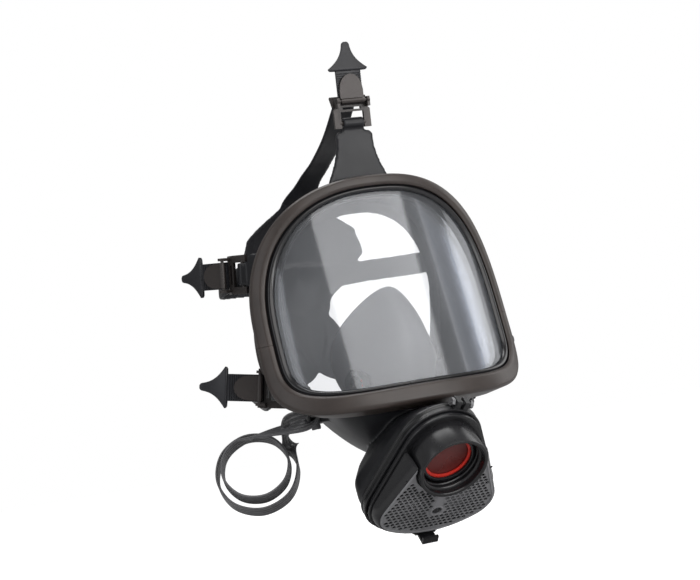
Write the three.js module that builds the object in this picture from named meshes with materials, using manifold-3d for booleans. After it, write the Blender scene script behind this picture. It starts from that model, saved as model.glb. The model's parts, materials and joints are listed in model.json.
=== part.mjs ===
// Full face respirator: panoramic lens in a two-part clamping frame, moulded rubber facepiece, nose cup,
// valve housing with a round-thread connector, five-point rubber harness with lever buckles, carrying strap.
// Millimetres. +Z is up, the wearer looks along -Y, +X is the wearer's left. The design frame below has its
// origin inside the face opening; the exported group is moved so that the middle of the whole box is the origin.
import * as THREE from "three";
import { mergeVertices } from "three/addons/utils/BufferGeometryUtils.js";
import Module from "manifold-3d";

const wasm = await Module();
wasm.setup();

const DEGREE = Math.PI / 180;
const SLIVER = 0.06; // detail smaller than this is merged away
const GAP = 0.35; // clearance between two pieces that only rest on each other

// ---- driving dimensions -------------------------------------------------------------------------------

// Lens frame seen from the front: one superellipse above its widest line, a squarer one below.
const FRAME = { halfWidth: 86, sideZ: -24, up: 97, down: 56, topPower: 2.55, bottomPower: 5.2 };
// The lens is a leaning cylinder: its radius, the height of its axis plane and how far it leans per millimetre.
const LENS = { radius: 105, apexY: -59, lean: 0.22, thickness: 2.6, edgeInset: 4.7 };
// Width of the frame's front face at the sides, the top and the bottom.
const FRAME_FACE = { side: 7.5, top: 7.5, bottom: 11.5 };
const GASKET_SHOWN = 3.6; // rubber lip showing inside the frame's face
const WALL = 2.6; // facepiece wall
const FACE_RINGS = 40; // stations round the frame and facepiece

// Port frame: a point on the connector's axis in front of its rim, and how far the axis dips below the horizon.
const PORT_ORIGIN = new THREE.Vector3(0, -102.2, -129.6);
const PORT_DIP = 44.6 * DEGREE;
const CONNECTOR = { rim: -8, outer: 22.9, thread: 20.4, crest: 18.7, pitch: 3.63, turns: 2.25 };

// Buckles and strap ends, in each set's own frame: +Y along the strap end, +Z outwards, origin on the loop bar.
const STRAP = { half: 9, low: 0.2, high: 2, start: 12.5 };
const ARROW = { base: 33.6, tip: 53, half: 13.8, step: 0.5 };
const BUCKLE = { half: 13, plate: 1.2, foot: -3.3, opening: 7.6, top: 11.8, openHalf: 8.2, bar: 1.5 };
const LOOP = { outer: 3.7, inner: 1.9, half: 7.6, shoulder: -5.6 }; // rubber loop of each tab
const LEVER = { y: 14.4, z: 4.5, barrel: 1.9, pin: 1.1, half: 8.3, straight: 7.2, round: 10.8 };

// ---- materials ----------------------------------------------------------------------------------------

const material = (color, roughness, metalness = 0) =>
  new THREE.MeshStandardMaterial({ color, roughness, metalness });
const RUBBER = material(0x2c2d30, 0.62);
const FRAME_PLASTIC = material(0x4b4644, 0.55);
const HARNESS_RUBBER = material(0x333437, 0.6);
const HOUSING_PLASTIC = material(0x1d1d1f, 0.35);
const COVER_PLASTIC = material(0x4a4a4e, 0.5);
const BUCKLE_METAL = material(0x383432, 0.45, 0.3);
const STEEL = material(0x8a8a8c, 0.35, 1);
const RED_SILICONE = material(0xb03a32, 0.4);
const DISC_FILM = material(0x3a1616, 0.35);
const LENS_CLEAR = new THREE.MeshStandardMaterial({
  color: 0xdfe3e6,
  roughness: 0.05,
  transparent: true,
  opacity: 0.3,
});

// ---- solid helpers ------------------------------------------------------------------------------------

const vec = (x, y, z) => new THREE.Vector3(x, y, z);

// A closed BufferGeometry as a manifold-3d solid, turned to face outwards.
function solidOf(geometry) {
  const bare = new THREE.BufferGeometry();
  bare.setAttribute("position", geometry.getAttribute("position"));
  if (geometry.index) bare.setIndex(geometry.index);
  const merged = mergeVertices(bare, 1e-4);
  const vertProperties = new Float32Array(merged.attributes.position.array);
  const triVerts = new Uint32Array(merged.index.array);
  const make = () => new wasm.Manifold(new wasm.Mesh({ numProp: 3, vertProperties, triVerts }));
  const made = make();
  if (made.volume() > 0) return made;
  for (let i = 0; i < triVerts.length; i += 3) {
    [triVerts[i + 1], triVerts[i + 2]] = [triVerts[i + 2], triVerts[i + 1]];
  }
  return make();
}

// Back to a BufferGeometry, without the slivers that joins and cuts leave.
function geometryOf(solid) {
  const mesh = solid.simplify(SLIVER).getMesh();
  const stride = mesh.numProp;
  const positions = new Float32Array(mesh.numVert * 3);
  for (let i = 0; i < mesh.numVert; i++) {
    positions.set(mesh.vertProperties.subarray(i * stride, i * stride + 3), i * 3);
  }
  const geometry = new THREE.BufferGeometry();
  geometry.setAttribute("position", new THREE.BufferAttribute(positions, 3));
  geometry.setIndex(new THREE.BufferAttribute(new Uint32Array(mesh.triVerts), 1));
  return geometry;
}

const join = (first, ...rest) => rest.reduce((sum, next) => sum.add(next), first);
const cut = (first, ...rest) => rest.reduce((left, next) => left.subtract(next), first);

const mask = new THREE.Group();

function addPiece(name, shape, look, parent = mask) {
  const geometry = shape.isBufferGeometry ? shape : geometryOf(shape);
  const mesh = new THREE.Mesh(geometry, look);
  mesh.name = name;
  parent.add(mesh);
  return mesh;
}

// Skin over closed cross-sections of equal length. A looped skin joins the last section to the first;
// otherwise a fan from a centre point caps each end.
function skin(sections, { looped = false, capCentres = [] } = {}) {
  const count = sections[0].length;
  const points = sections.flat();
  const faces = [];
  const rows = looped ? sections.length : sections.length - 1;
  for (let i = 0; i < rows; i++) {
    const here = i * count;
    const next = ((i + 1) % sections.length) * count;
    for (let j = 0; j < count; j++) {
      const k = (j + 1) % count;
      faces.push(here + j, here + k, next + k, here + j, next + k, next + j);
    }
  }
  if (!looped) {
    const last = (sections.length - 1) * count;
    [sections[0], sections.at(-1)].forEach((section, end) => {
      const average = section.reduce((sum, p) => sum.add(p), vec(0, 0, 0)).divideScalar(count);
      const centre = points.push(capCentres[end] ?? average) - 1;
      for (let j = 0; j < count; j++) {
        const k = (j + 1) % count;
        if (end) faces.push(centre, last + j, last + k);
        else faces.push(centre, k, j);
      }
    });
  }
  const geometry = new THREE.BufferGeometry();
  geometry.setAttribute("position", new THREE.Float32BufferAttribute(points.flatMap((p) => p.toArray()), 3));
  geometry.setIndex(faces);
  return solidOf(geometry);
}

const moved = (geometry, x, y, z) => geometry.translate(x, y, z);
const box = (x, y, z, at = [0, 0, 0]) => solidOf(moved(new THREE.BoxGeometry(x, y, z), ...at));

// A box given by its lowest and highest corners.
function block(low, high) {
  const size = high.map((value, i) => value - low[i]);
  return box(...size, low.map((value, i) => value + size[i] / 2));
}

// Cylinder along local Z from one height to another.
function rod(radius, from, to, at = [0, 0], sides = 18) {
  const geometry = new THREE.CylinderGeometry(radius, radius, to - from, sides);
  return solidOf(moved(geometry.rotateX(Math.PI / 2), at[0], at[1], (from + to) / 2));
}

// Cylinder along local X, centred on x = 0.
function crossRod(radius, length, y, z, sides = 10) {
  const geometry = new THREE.CylinderGeometry(radius, radius, length, sides);
  return solidOf(moved(geometry.rotateZ(Math.PI / 2), 0, y, z));
}

// Body of revolution about local Z from [radius, height] pairs that start and end on the axis or close.
function turned(profile, sides = 18, at = [0, 0]) {
  const points = profile.map(([radius, height]) => new THREE.Vector2(radius, height));
  return solidOf(moved(new THREE.LatheGeometry(points, sides).rotateX(Math.PI / 2), at[0], at[1], 0));
}

function ringOf(outer, inner, from, to, at = [0, 0], sides = 18) {
  return turned([[outer, from], [outer, to], [inner, to], [inner, from], [outer, from]], sides, at);
}

function extruded(points, from, to) {
  const shape = new THREE.Shape(points.map(([x, y]) => new THREE.Vector2(x, y)));
  return solidOf(moved(new THREE.ExtrudeGeometry(shape, { depth: to - from, bevelEnabled: false }), 0, 0, from));
}

// ---- lens surface and frame outline -------------------------------------------------------------------

const signedPower = (value, power) => Math.sign(value) * Math.abs(value) ** power;

// Point of the frame outline at an angle from the wearer's left, drawn in by the given insets.
function outlinePoint(angle, inset) {
  const { side, top, bottom } = inset;
  const upper = Math.sin(angle) >= 0;
  const power = 2 / (upper ? FRAME.topPower : FRAME.bottomPower);
  const height = upper ? FRAME.up - top : FRAME.down - bottom;
  return {
    x: (FRAME.halfWidth - side) * signedPower(Math.cos(angle), power),
    z: FRAME.sideZ + height * signedPower(Math.sin(angle), power),
  };
}

const evenInset = (d) => ({ side: d, top: d, bottom: d });
const faceInset = (extra = 0) => ({
  side: FRAME_FACE.side + extra,
  top: FRAME_FACE.top + extra,
  bottom: FRAME_FACE.bottom + extra,
});

// Point at x, z, raised off the lens's middle surface along its outward normal.
function offLens(x, z, raise) {
  const reach = Math.min(Math.abs(x), LENS.radius * 0.97);
  const root = Math.sqrt(LENS.radius ** 2 - reach ** 2);
  const normal = vec((Math.sign(x) * reach) / root, -1, LENS.lean).normalize();
  return vec(x, LENS.apexY + LENS.radius - root + LENS.lean * z, z).addScaledVector(normal, raise);
}

function railPoint(angle, inset, raise) {
  const { x, z } = outlinePoint(angle, inset);
  return offLens(x, z, raise);
}

// Angles that step evenly along the outline, right round from the wearer's left.
function evenAngles(count) {
  const fine = 1440;
  const angles = Array.from({ length: fine + 1 }, (_, i) => (2 * Math.PI * i) / fine);
  const lengths = [0];
  for (let i = 1; i <= fine; i++) {
    const a = railPoint(angles[i - 1], evenInset(0), 0);
    const b = railPoint(angles[i], evenInset(0), 0);
    lengths.push(lengths[i - 1] + a.distanceTo(b));
  }
  return Array.from({ length: count }, (_, k) => {
    const want = (lengths[fine] * k) / count;
    const i = Math.min(fine, Math.max(1, lengths.findIndex((length) => length >= want - 1e-9)));
    const share = (want - lengths[i - 1]) / (lengths[i] - lengths[i - 1]);
    return angles[i - 1] + (angles[i] - angles[i - 1]) * Math.max(0, share);
  });
}

const ROUND = evenAngles(FACE_RINGS);

// ---- lens, gasket and clamping frame ------------------------------------------------------------------

// A ring whose section, as [inset, raise] pairs, follows the outline right round.
const ringRound = (corners) =>
  skin(
    ROUND.map((angle) => corners.map(([inset, raise]) => railPoint(angle, inset, raise))),
    { looped: true },
  );

const CHANNEL = { wall: 2.2, front: 6.4, frontInner: 3.65, back: -9.4, backInner: -7.4, backLip: 6 };
const FRAME_SECTION = [
  [evenInset(0), CHANNEL.back],
  [evenInset(0), CHANNEL.front - 1.6],
  [evenInset(1.4), CHANNEL.front],
  [faceInset(-0.8), CHANNEL.front],
  [faceInset(), CHANNEL.front - 1],
  [faceInset(), CHANNEL.frontInner],
  [evenInset(CHANNEL.wall), CHANNEL.frontInner],
  [evenInset(CHANNEL.wall), CHANNEL.backInner],
  [evenInset(CHANNEL.backLip), CHANNEL.backInner],
  [evenInset(CHANNEL.backLip), CHANNEL.back],
];
const GASKET_SECTION = [
  [evenInset(CHANNEL.wall + GAP), -3.2],
  [evenInset(CHANNEL.wall + GAP), 3.3],
  [faceInset(1), 3.3],
  [faceInset(GASKET_SHOWN - 0.8), 3.0],
  [faceInset(GASKET_SHOWN), 1.65],
  [evenInset(LENS.edgeInset - GAP), 1.65],
  [evenInset(LENS.edgeInset - GAP), -1.65],
  [evenInset(12), -1.65],
  [evenInset(12), -3.2],
];

// The lens: a curved plate between two leaning cylinder surfaces, meshed as a grid of evenly spaced rows.
function lensPlate() {
  const half = LENS.thickness / 2;
  const ringAt = (inset, share) =>
    ROUND.map((angle) => {
      const edge = outlinePoint(angle, evenInset(inset));
      return [edge.x * share, FRAME.sideZ + (edge.z - FRAME.sideZ) * share];
    });
  const rings = [ringAt(15, 0.4), ringAt(15, 0.72), ringAt(15, 1), ringAt(LENS.edgeInset, 1)];
  const surface = (raise) => rings.map((ring) => ring.map(([x, z]) => offLens(x, z, raise)));
  const sections = [...surface(half), ...surface(-half).reverse()];
  const centre = (raise) => offLens(0, FRAME.sideZ, raise);
  return skin(sections, { capCentres: [centre(half), centre(-half)] });
}

// Frame halves part on a level line below the widest point and are drawn together by a screw at each side.
const SEAM_Z = -27;
const LUG = { depth: 7.5, height: 8, width: 6.4, screw: 0.9, head: 1.8, reach: 1.9, taper: 17 };
const lugCentre = (side) => {
  const rail = offLens(side * FRAME.halfWidth, SEAM_Z, -1.5);
  const slope = FRAME.halfWidth / Math.sqrt(LENS.radius ** 2 - FRAME.halfWidth ** 2);
  return rail.add(vec(side, slope, 0).setLength(LUG.reach)).setZ(SEAM_Z);
};

function frameHalf(upper) {
  const ring = ringRound(FRAME_SECTION);
  const seam = SEAM_Z + (upper ? GAP / 2 : -GAP / 2);
  const keep = upper ? block([-120, -160, seam], [120, 80, 140]) : block([-120, -160, -140], [120, 80, seam]);
  const lugs = [-1, 1].map((side) => {
    const { x, y } = lugCentre(side);
    const swell = new THREE.SphereGeometry(1, 14, 12).rotateX(Math.PI / 2);
    swell.scale(LUG.width / 2, LUG.depth / 2, LUG.taper).translate(x, y, SEAM_Z);
    const [low, high] = upper ? [seam, seam + LUG.height] : [seam - LUG.height, seam];
    return solidOf(swell).intersect(block([x - 9, y - 9, low], [x + 9, y + 9, high]));
  });
  const holes = [-1, 1].map((side) => {
    const { x, y } = lugCentre(side);
    const pockets = [SEAM_Z + LUG.height, SEAM_Z - LUG.height - 20];
    return join(
      rod(LUG.screw + GAP, SEAM_Z - 20, SEAM_Z + 20, [x, y], 10),
      ...pockets.map((from) => rod(LUG.head + 0.3 + GAP, from, from + 20, [x, y], 14)),
    );
  });
  // The lugs stop short of the channel in which the gasket and the facepiece rim sit.
  const channel = ringRound([
    [evenInset(CHANNEL.wall), CHANNEL.frontInner],
    [evenInset(40), CHANNEL.frontInner],
    [evenInset(40), CHANNEL.backInner],
    [evenInset(CHANNEL.wall), CHANNEL.backInner],
  ]);
  return cut(join(ring.intersect(keep), ...lugs), channel, ...holes);
}

function addFrame() {
  addPiece("visor", lensPlate(), LENS_CLEAR);
  addPiece("visor_gasket", ringRound(GASKET_SECTION), RUBBER);
  addPiece("upper_frame", frameHalf(true), FRAME_PLASTIC);
  addPiece("lower_frame", frameHalf(false), FRAME_PLASTIC);
  for (const [side, name] of [[-1, "right"], [1, "left"]]) {
    const { x, y } = lugCentre(side);
    const top = SEAM_Z + LUG.height + GAP;
    const bottom = SEAM_Z - LUG.height - GAP - 0.5;
    const head = cut(rod(LUG.head, top, top + 1.6, [x, y], 14), box(6, 0.5, 0.9, [x, y, top + 1.6]));
    const screw = join(head, rod(LUG.screw, bottom - 2.4, top + 0.8, [x, y], 10));
    addPiece(`frame_screw_${name}`, screw, STEEL);
    const nut = ringOf(LUG.head + 0.2, LUG.screw + GAP, bottom - 1.6, bottom, [x, y], 6);
    addPiece(`frame_nut_${name}`, nut, STEEL);
  }
}

// ---- facepiece ----------------------------------------------------------------------------------------

// Sealing edge against the face: narrow under the chin, deepest at the temples.
const SEAL = { halfWidth: 71, midZ: 5, up: 61, down: 116, topPower: 2.2, bottomPower: 1.65 };
const SEAL_DEPTH = { forehead: -8, temple: 38, chin: 10 };
const LIP = 11; // width of the lip that turns in against the skin
const WALL_STEPS = 5;

function sealPoint(angle) {
  const upper = Math.sin(angle) >= 0;
  const power = 2 / (upper ? SEAL.topPower : SEAL.bottomPower);
  const x = SEAL.halfWidth * signedPower(Math.cos(angle), power);
  const z = SEAL.midZ + (upper ? SEAL.up : SEAL.down) * signedPower(Math.sin(angle), power);
  const chinShare = Math.max(0, (SEAL.midZ - z) / SEAL.down);
  const y =
    SEAL_DEPTH.forehead +
    SEAL_DEPTH.temple * (Math.abs(x) / SEAL.halfWidth) ** 1.6 +
    SEAL_DEPTH.chin * chinShare;
  return vec(x, y, z);
}

// Level direction from a point of the sealing edge towards the middle of the face opening.
const inwardFrom = (seal) => vec(-seal.x, 0, -10 - seal.z).normalize();

// Wall from the rim behind the lens to the sealing edge at one station, at a depth inside its outer surface.
function wallCurve(angle, depth) {
  const seal = sealPoint(angle);
  const inward = inwardFrom(seal);
  const neck = railPoint(angle, evenInset(6.6), -11);
  const upright = Math.sin(angle) ** 2;
  const bulge = 2 + (Math.sin(angle) < 0 ? 8 : 3) * upright;
  const step = neck.clone().lerp(seal, 0.78 - 0.28 * upright).setY(neck.y + 7);
  const belly = seal.clone().addScaledVector(inward, -bulge).setY(seal.y - 26);
  const outer = new THREE.CubicBezierCurve3(neck, step, belly, seal);
  return outer.getPoints(WALL_STEPS).map((point, i) => {
    const tangent = outer.getTangent(i / WALL_STEPS);
    const normal = inward.clone().multiplyScalar(tangent.y).setY(-tangent.dot(inward)).normalize();
    return point.addScaledVector(normal, depth);
  });
}

function facepieceSection(angle) {
  const seal = sealPoint(angle);
  const inward = inwardFrom(seal);
  const lipTip = seal.clone().addScaledVector(inward, LIP).setY(seal.y - 1);
  return [
    railPoint(angle, evenInset(12), -3.55),
    railPoint(angle, evenInset(CHANNEL.wall + GAP), -3.55),
    railPoint(angle, evenInset(CHANNEL.wall + GAP), CHANNEL.backInner + GAP),
    railPoint(angle, evenInset(CHANNEL.backLip + 0.6), CHANNEL.backInner + GAP),
    ...wallCurve(angle, 0),
    seal.clone().addScaledVector(inward, 2).setY(seal.y + 1.2),
    lipTip,
    lipTip.clone().setY(lipTip.y - 1.6),
    ...wallCurve(angle, WALL).reverse(),
    railPoint(angle, evenInset(12), -6.4),
  ];
}

// The room inside the facepiece, as far as the middle of its wall: what joins the wall from outside ends there.
function innerRoom() {
  const stations = ROUND.map((angle) => wallCurve(angle, WALL / 2));
  return skin(stations[0].map((_, step) => stations.map((curve) => curve[step])));
}

// Convex outline round circles [x, y, radius] listed anticlockwise, grown by an offset.
function outlineRound(circles, grow, turn = 20) {
  const count = circles.length;
  const normals = circles.map(([x, y, radius], i) => {
    const [nx, ny, nextRadius] = circles[(i + 1) % count];
    const along = Math.atan2(ny - y, nx - x);
    const lean = (radius - nextRadius) / Math.hypot(nx - x, ny - y);
    return along - Math.acos(Math.max(-1, Math.min(1, lean)));
  });
  const points = circles.flatMap(([x, y, radius], i) => {
    const start = normals[(i + count - 1) % count];
    let sweep = normals[i] - start;
    while (sweep < -1e-6) sweep += 2 * Math.PI;
    const steps = Math.max(2, Math.round(sweep / DEGREE / turn));
    return Array.from({ length: steps + 1 }, (_, k) => {
      const a = start + (sweep * k) / steps;
      return [x + (radius + grow) * Math.cos(a), y + (radius + grow) * Math.sin(a)];
    });
  });
  return points.filter(([x, y], i) => {
    const [nextX, nextY] = points[(i + 1) % points.length];
    return Math.hypot(nextX - x, nextY - y) > 0.01;
  });
}

// Outline of the port neck and valve housing, round the connector's axis: a rounded triangle, point up.
const PORT = { top: 26.5, cornerU: 22, cornerV: -42.5, corner: 21, sill: 61 };
const sillV = PORT.cornerV + Math.sqrt((PORT.sill - PORT.corner) ** 2 - PORT.cornerU ** 2);
const PORT_CIRCLES = [
  [0, 0, PORT.top],
  [-PORT.cornerU, PORT.cornerV, PORT.corner],
  [0, sillV, PORT.sill],
  [PORT.cornerU, PORT.cornerV, PORT.corner],
];
const portOutline = (grow, turn) => outlineRound(PORT_CIRCLES, grow, turn);
const portPrism = (grow, from, to) => extruded(portOutline(grow), from, to);

const portFrame = new THREE.Group();
portFrame.position.copy(PORT_ORIGIN);
portFrame.rotation.x = Math.PI / 2 + PORT_DIP;
portFrame.updateMatrixWorld(true);
mask.add(portFrame);

const toArray = (matrix) => Array.from(matrix.elements);
const fromPort = (solid) => solid.transform(toArray(portFrame.matrixWorld));

// Levels of the rubber cup that carries the housing: a straight neck, then a rounded back that runs up into
// the chin. Each level is its height along the port axis and its width and height against the neck's outline.
const NECK_MIDDLE = -30;
const NECK_LEVELS = [
  [-29.8, 1, 1],
  [-37.9, 1, 1],
  [-43, 1.05, 0.96],
  [-52, 1.03, 0.8],
  [-62, 0.88, 0.6],
  [-80, 0.5, 0.3],
];

function portPouch(grow) {
  const sections = NECK_LEVELS.map(([level, wide, tall], i) => {
    const z = grow < 0 && i === 0 ? level + 2 : level;
    return portOutline(grow).map(([x, y]) => vec(x * wide, NECK_MIDDLE + (y - NECK_MIDDLE) * tall, z));
  });
  return fromPort(skin(sections));
}

// Frame of a strap set: +Y along the strap end, +Z outwards.
function setFrame(at, along, outward) {
  const y = along.clone().normalize();
  const x = y.clone().cross(outward).normalize();
  const z = x.clone().cross(y);
  const frame = new THREE.Group();
  frame.matrix.makeBasis(x, y, z).setPosition(at);
  frame.matrix.decompose(frame.position, frame.quaternion, frame.scale);
  frame.updateMatrixWorld(true);
  return frame;
}

// Each set: where its loop bar is, the way the strap end points, the way it faces, how far down the tab reaches,
// the tab's half width there, and how much further than standard its strap end is drawn through.
const STRAP_SETS = [
  {
    name: "top",
    at: vec(0, -31, 113),
    along: vec(0, -0.17, 0.985),
    out: vec(0, -1, -0.17),
    root: 51,
    flare: 25,
    drawn: 1,
  },
  ...[-1, 1].map((side) => ({
    name: side < 0 ? "temple_right" : "temple_left",
    at: vec(side * 80.5, 8, 26),
    along: vec(side * 0.5, 0.866, 0.14),
    out: vec(side * 0.866, -0.5, 0),
    root: 20.5,
    flare: 14,
    drawn: 3,
  })),
  ...[-1, 1].map((side) => ({
    name: side < 0 ? "cheek_right" : "cheek_left",
    at: vec(side * 70.2, -3, -54),
    along: vec(side * 0.82, 0.53, 0.2),
    out: vec(side * 0.53, -0.84, 0),
    root: 19,
    flare: 13,
    drawn: 4,
  })),
].map((set) => ({ ...set, frame: setFrame(set.at, set.along, set.out) }));

// Tab from the facepiece to its buckle, ending in a loop round the buckle's lower bar.
function tab({ frame, root, flare }) {
  const neck = LOOP.shoulder - 2;
  const span = neck + root;
  const edge = new THREE.CubicBezierCurve(
    new THREE.Vector2(BUCKLE.half, neck),
    new THREE.Vector2(BUCKLE.half, neck - span * 0.5),
    new THREE.Vector2(flare, -root + span * 0.3),
    new THREE.Vector2(flare, -root),
  ).getPoints(5);
  const right = [[LOOP.half, 0], [LOOP.half, LOOP.shoulder], [11, LOOP.shoulder], ...edge.map((p) => [p.x, p.y])];
  const left = right.map(([x, y]) => [-x, y]).reverse();
  const blade = extruded([...right, ...left].reverse(), -1.5, 1.5);
  const loop = crossRod(LOOP.outer, 2 * LOOP.half, 0, 0);
  const bore = crossRod(LOOP.inner, 40, 0, 0);
  return cut(join(blade, loop), bore).transform(toArray(frame.matrixWorld));
}

// Mushroom stud that holds one end of the carrying strap, on a level axis across the mask.
const STUD = { x: 52, y: -14, z: -78, shank: 2.4, head: 4.2, reach: 8 };

function stud(side) {
  const shank = crossRod(STUD.shank, 24, STUD.y, STUD.z).translate([side * (STUD.x - 4), 0, 0]);
  const head = crossRod(STUD.head, 1.8, STUD.y, STUD.z, 20).translate([side * (STUD.x + STUD.reach), 0, 0]);
  return join(shank, head);
}

function addFacepiece() {
  const room = innerRoom();
  const shell = skin(ROUND.map(facepieceSection), { looped: true });
  const outside = join(portPouch(0), ...STRAP_SETS.map(tab), stud(-1), stud(1));
  addPiece("facepiece", cut(join(shell, cut(outside, room)), portPouch(-3)), RUBBER);
}

// ---- valve housing, in the port's frame: +Z out of the connector, origin at its mouth -------------------

const PLATE = { back: -29.3, front: -27 }; // housing's front plate, behind the cover
const VALVE = { u: 16.6, v: -43.5, opening: 10.2, seat: 13.4, bore: 10.8, disc: 12.2 };
const SPIGOT = { v: -42, half: 15.5, radius: 13.6, wall: 2, back: -48, stations: 26 };
const INLET = { bore: 16, tube: 19, back: -40, shoulder: -20.7, ledge: -26 };
const COVER = { tilt: 9 * DEGREE, nearV: -23, nearZ: -15, wall: 1.8, top: 3, skirt: -26.6 };
const CLIP = { v: -72.1, w: -28.4, half: 5.5, pin: 1.2 };
const COVER_HOLE = { radius: 2.9, pitch: 7.4 };

// Long round spigot at the back of the housing, which the nose cup is pulled over.
function spigotPoint(angle, grow) {
  const along = Math.max(-1, Math.min(1, 1.5 * Math.cos(angle)));
  const radius = SPIGOT.radius + grow;
  return [SPIGOT.half * along + radius * Math.cos(angle), SPIGOT.v + radius * Math.sin(angle)];
}

const spigotOutline = (grow) =>
  Array.from({ length: SPIGOT.stations }, (_, i) => spigotPoint((2 * Math.PI * i) / SPIGOT.stations, grow));

// Cross of spokes that carries a disc, across an opening.
function spider(radius, from, to, at = [0, 0]) {
  const middle = (from + to) / 2;
  const spokes = [0, 60, 120].map((turn) =>
    box(2 * radius, 1.8, to - from).rotate([0, 0, turn]).translate([at[0], at[1], middle]),
  );
  return join(rod(2.6, from, to, at, 12), ...spokes);
}

// Raised helical thread inside the connector.
function threadRidge() {
  const stations = 14;
  const sections = Array.from({ length: Math.round(CONNECTOR.turns * stations) + 1 }, (_, i) => {
    const angle = (2 * Math.PI * i) / stations;
    const z = CONNECTOR.rim - 2.2 - (CONNECTOR.pitch * i) / stations;
    const at = (radius, height) => vec(radius * Math.cos(angle), radius * Math.sin(angle), height);
    const root = CONNECTOR.thread + 0.6;
    return [at(root, z - 1.1), at(root, z + 1.1), at(CONNECTOR.crest, z + 0.35), at(CONNECTOR.crest, z - 0.35)];
  });
  return skin(sections);
}

function housingSolid() {
  const body = join(
    portPrism(-3.4, -38.6, PLATE.back),
    portPrism(0.9, PLATE.back, PLATE.front),
    rod(CONNECTOR.outer, -34, CONNECTOR.rim, [0, 0], 28),
  );
  const chamber = portPrism(-6.4, -60, PLATE.back);
  const inletTube = ringOf(INLET.tube, INLET.bore, INLET.back, -28);
  const spigot = cut(
    extruded(spigotOutline(0), SPIGOT.back, -28),
    extruded(spigotOutline(-SPIGOT.wall), SPIGOT.back - 1, PLATE.back),
  );
  const mouth = turned([
    [0, -60],
    [INLET.bore, -60],
    [INLET.bore, INLET.ledge],
    [17, INLET.ledge],
    [17, INLET.shoulder],
    [CONNECTOR.thread, INLET.shoulder],
    [CONNECTOR.thread, CONNECTOR.rim - 0.6],
    [CONNECTOR.thread + 1.2, CONNECTOR.rim + 0.6],
    [0, CONNECTOR.rim + 0.6],
  ], 28);
  const valves = [-1, 1].map((side) => rod(VALVE.opening, -40, -20, [side * VALVE.u, VALVE.v]));
  const clipSlot = block([-7.4, CLIP.v - 2.4, -31], [7.4, CLIP.v + 2.4, -20]);
  const hull = cut(body, chamber);
  const tubes = join(inletTube, spigot);
  const exhaleSpider = spider(VALVE.opening + 0.5, PLATE.back, -27.6, [-VALVE.u, VALVE.v]);
  const inletSpider = spider(INLET.bore + 0.5, -28.5, INLET.ledge);
  const post = rod(2.4, PLATE.front - 1, -19.2, [0, VALVE.v - 2], 16);
  const hinge = crossRod(CLIP.pin, 17, CLIP.v, CLIP.w, 12);
  const shell = join(cut(join(hull, tubes), mouth, ...valves), exhaleSpider, inletSpider, threadRidge(), post);
  const [low, high] = [CLIP.v - 1.8, CLIP.v + 4.6];
  const cheeks = [-8.5, 8.5].map((u) => block([u - 0.9, low, CLIP.w - 1.4], [u + 0.9, high, PLATE.front]));
  return join(cut(shell, clipSlot), hinge, ...cheeks);
}

// Everything behind the cover's tilted face, or behind a face parallel to it.
function behindFace(inset) {
  const slab = block([-80, -120, -90], [80, 80, -inset]);
  const turn = (-COVER.tilt * 180) / Math.PI;
  return slab.rotate([-turn, 0, 0]).translate([0, COVER.nearV, COVER.nearZ]);
}

function coverSolid() {
  const outer = portPrism(-0.4, COVER.skirt, 0).intersect(behindFace(0));
  const inner = portPrism(-0.4 - COVER.wall, COVER.skirt - 1, 0).intersect(behindFace(COVER.wall));
  const holes = [];
  for (let row = -6; row <= 6; row++) {
    const v = VALVE.v + row * COVER_HOLE.pitch * Math.sqrt(0.75);
    for (let step = -6; step <= 6; step++) {
      const u = (step + (row % 2 ? 0.5 : 0)) * COVER_HOLE.pitch;
      if (insideGrille(u, v)) holes.push(rod(COVER_HOLE.radius, -40, 0, [u, v], 6));
    }
  }
  const connectorClear = rod(CONNECTOR.outer + 1.2, -60, 10, [0, 0], 28);
  const topClear = block([-60, COVER.top, -60], [60, 60, 10]);
  const centreHole = rod(3.6, -60, 10, [0, VALVE.v - 2], 16);
  const clipNotch = block([-7.4, CLIP.v - 6, -40], [7.4, CLIP.v + 4.4, -20.4]);
  return cut(outer, inner, connectorClear, topClear, centreHole, clipNotch, ...holes);
}

// The grille fills the cover's face except for its rim, the connector's collar and the centre bridge.
function insideGrille(u, v) {
  const rim = outlineRound(PORT_CIRCLES, -6.6, 20).map(([x, y]) => new THREE.Vector2(x, y));
  const inside = rim.every((a, i) => {
    const b = rim[(i + 1) % rim.length];
    return (b.x - a.x) * (v - a.y) - (b.y - a.y) * (u - a.x) > 0;
  });
  const clearOfConnector = Math.hypot(u, v) > CONNECTOR.outer + 5.4;
  const clearOfBridge = Math.abs(u) > 8.5 || v < -54;
  return inside && clearOfConnector && clearOfBridge && v < -6;
}

// Coil of round wire that narrows towards its free end.
function coilSpring(at, from, to, base, tip, wire, turns) {
  const stations = Math.round(turns * 9);
  const sections = Array.from({ length: stations + 1 }, (_, i) => {
    const share = i / stations;
    const angle = turns * 2 * Math.PI * share;
    const radius = base + (tip - base) * share;
    const centre = vec(at[0] + radius * Math.cos(angle), at[1] + radius * Math.sin(angle), from + (to - from) * share);
    const radial = vec(Math.cos(angle), Math.sin(angle), 0);
    return Array.from({ length: 4 }, (_, k) => {
      const turn = (Math.PI * k) / 2;
      return centre.clone().addScaledVector(radial, wire * Math.cos(turn)).add(vec(0, 0, wire * Math.sin(turn)));
    });
  });
  return skin(sections);
}

const BAND = { inner: 0.4, outer: 2.5, back: -37.6, front: -30.7, gap: 1.2, lugTurn: 70 * DEGREE };

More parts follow.
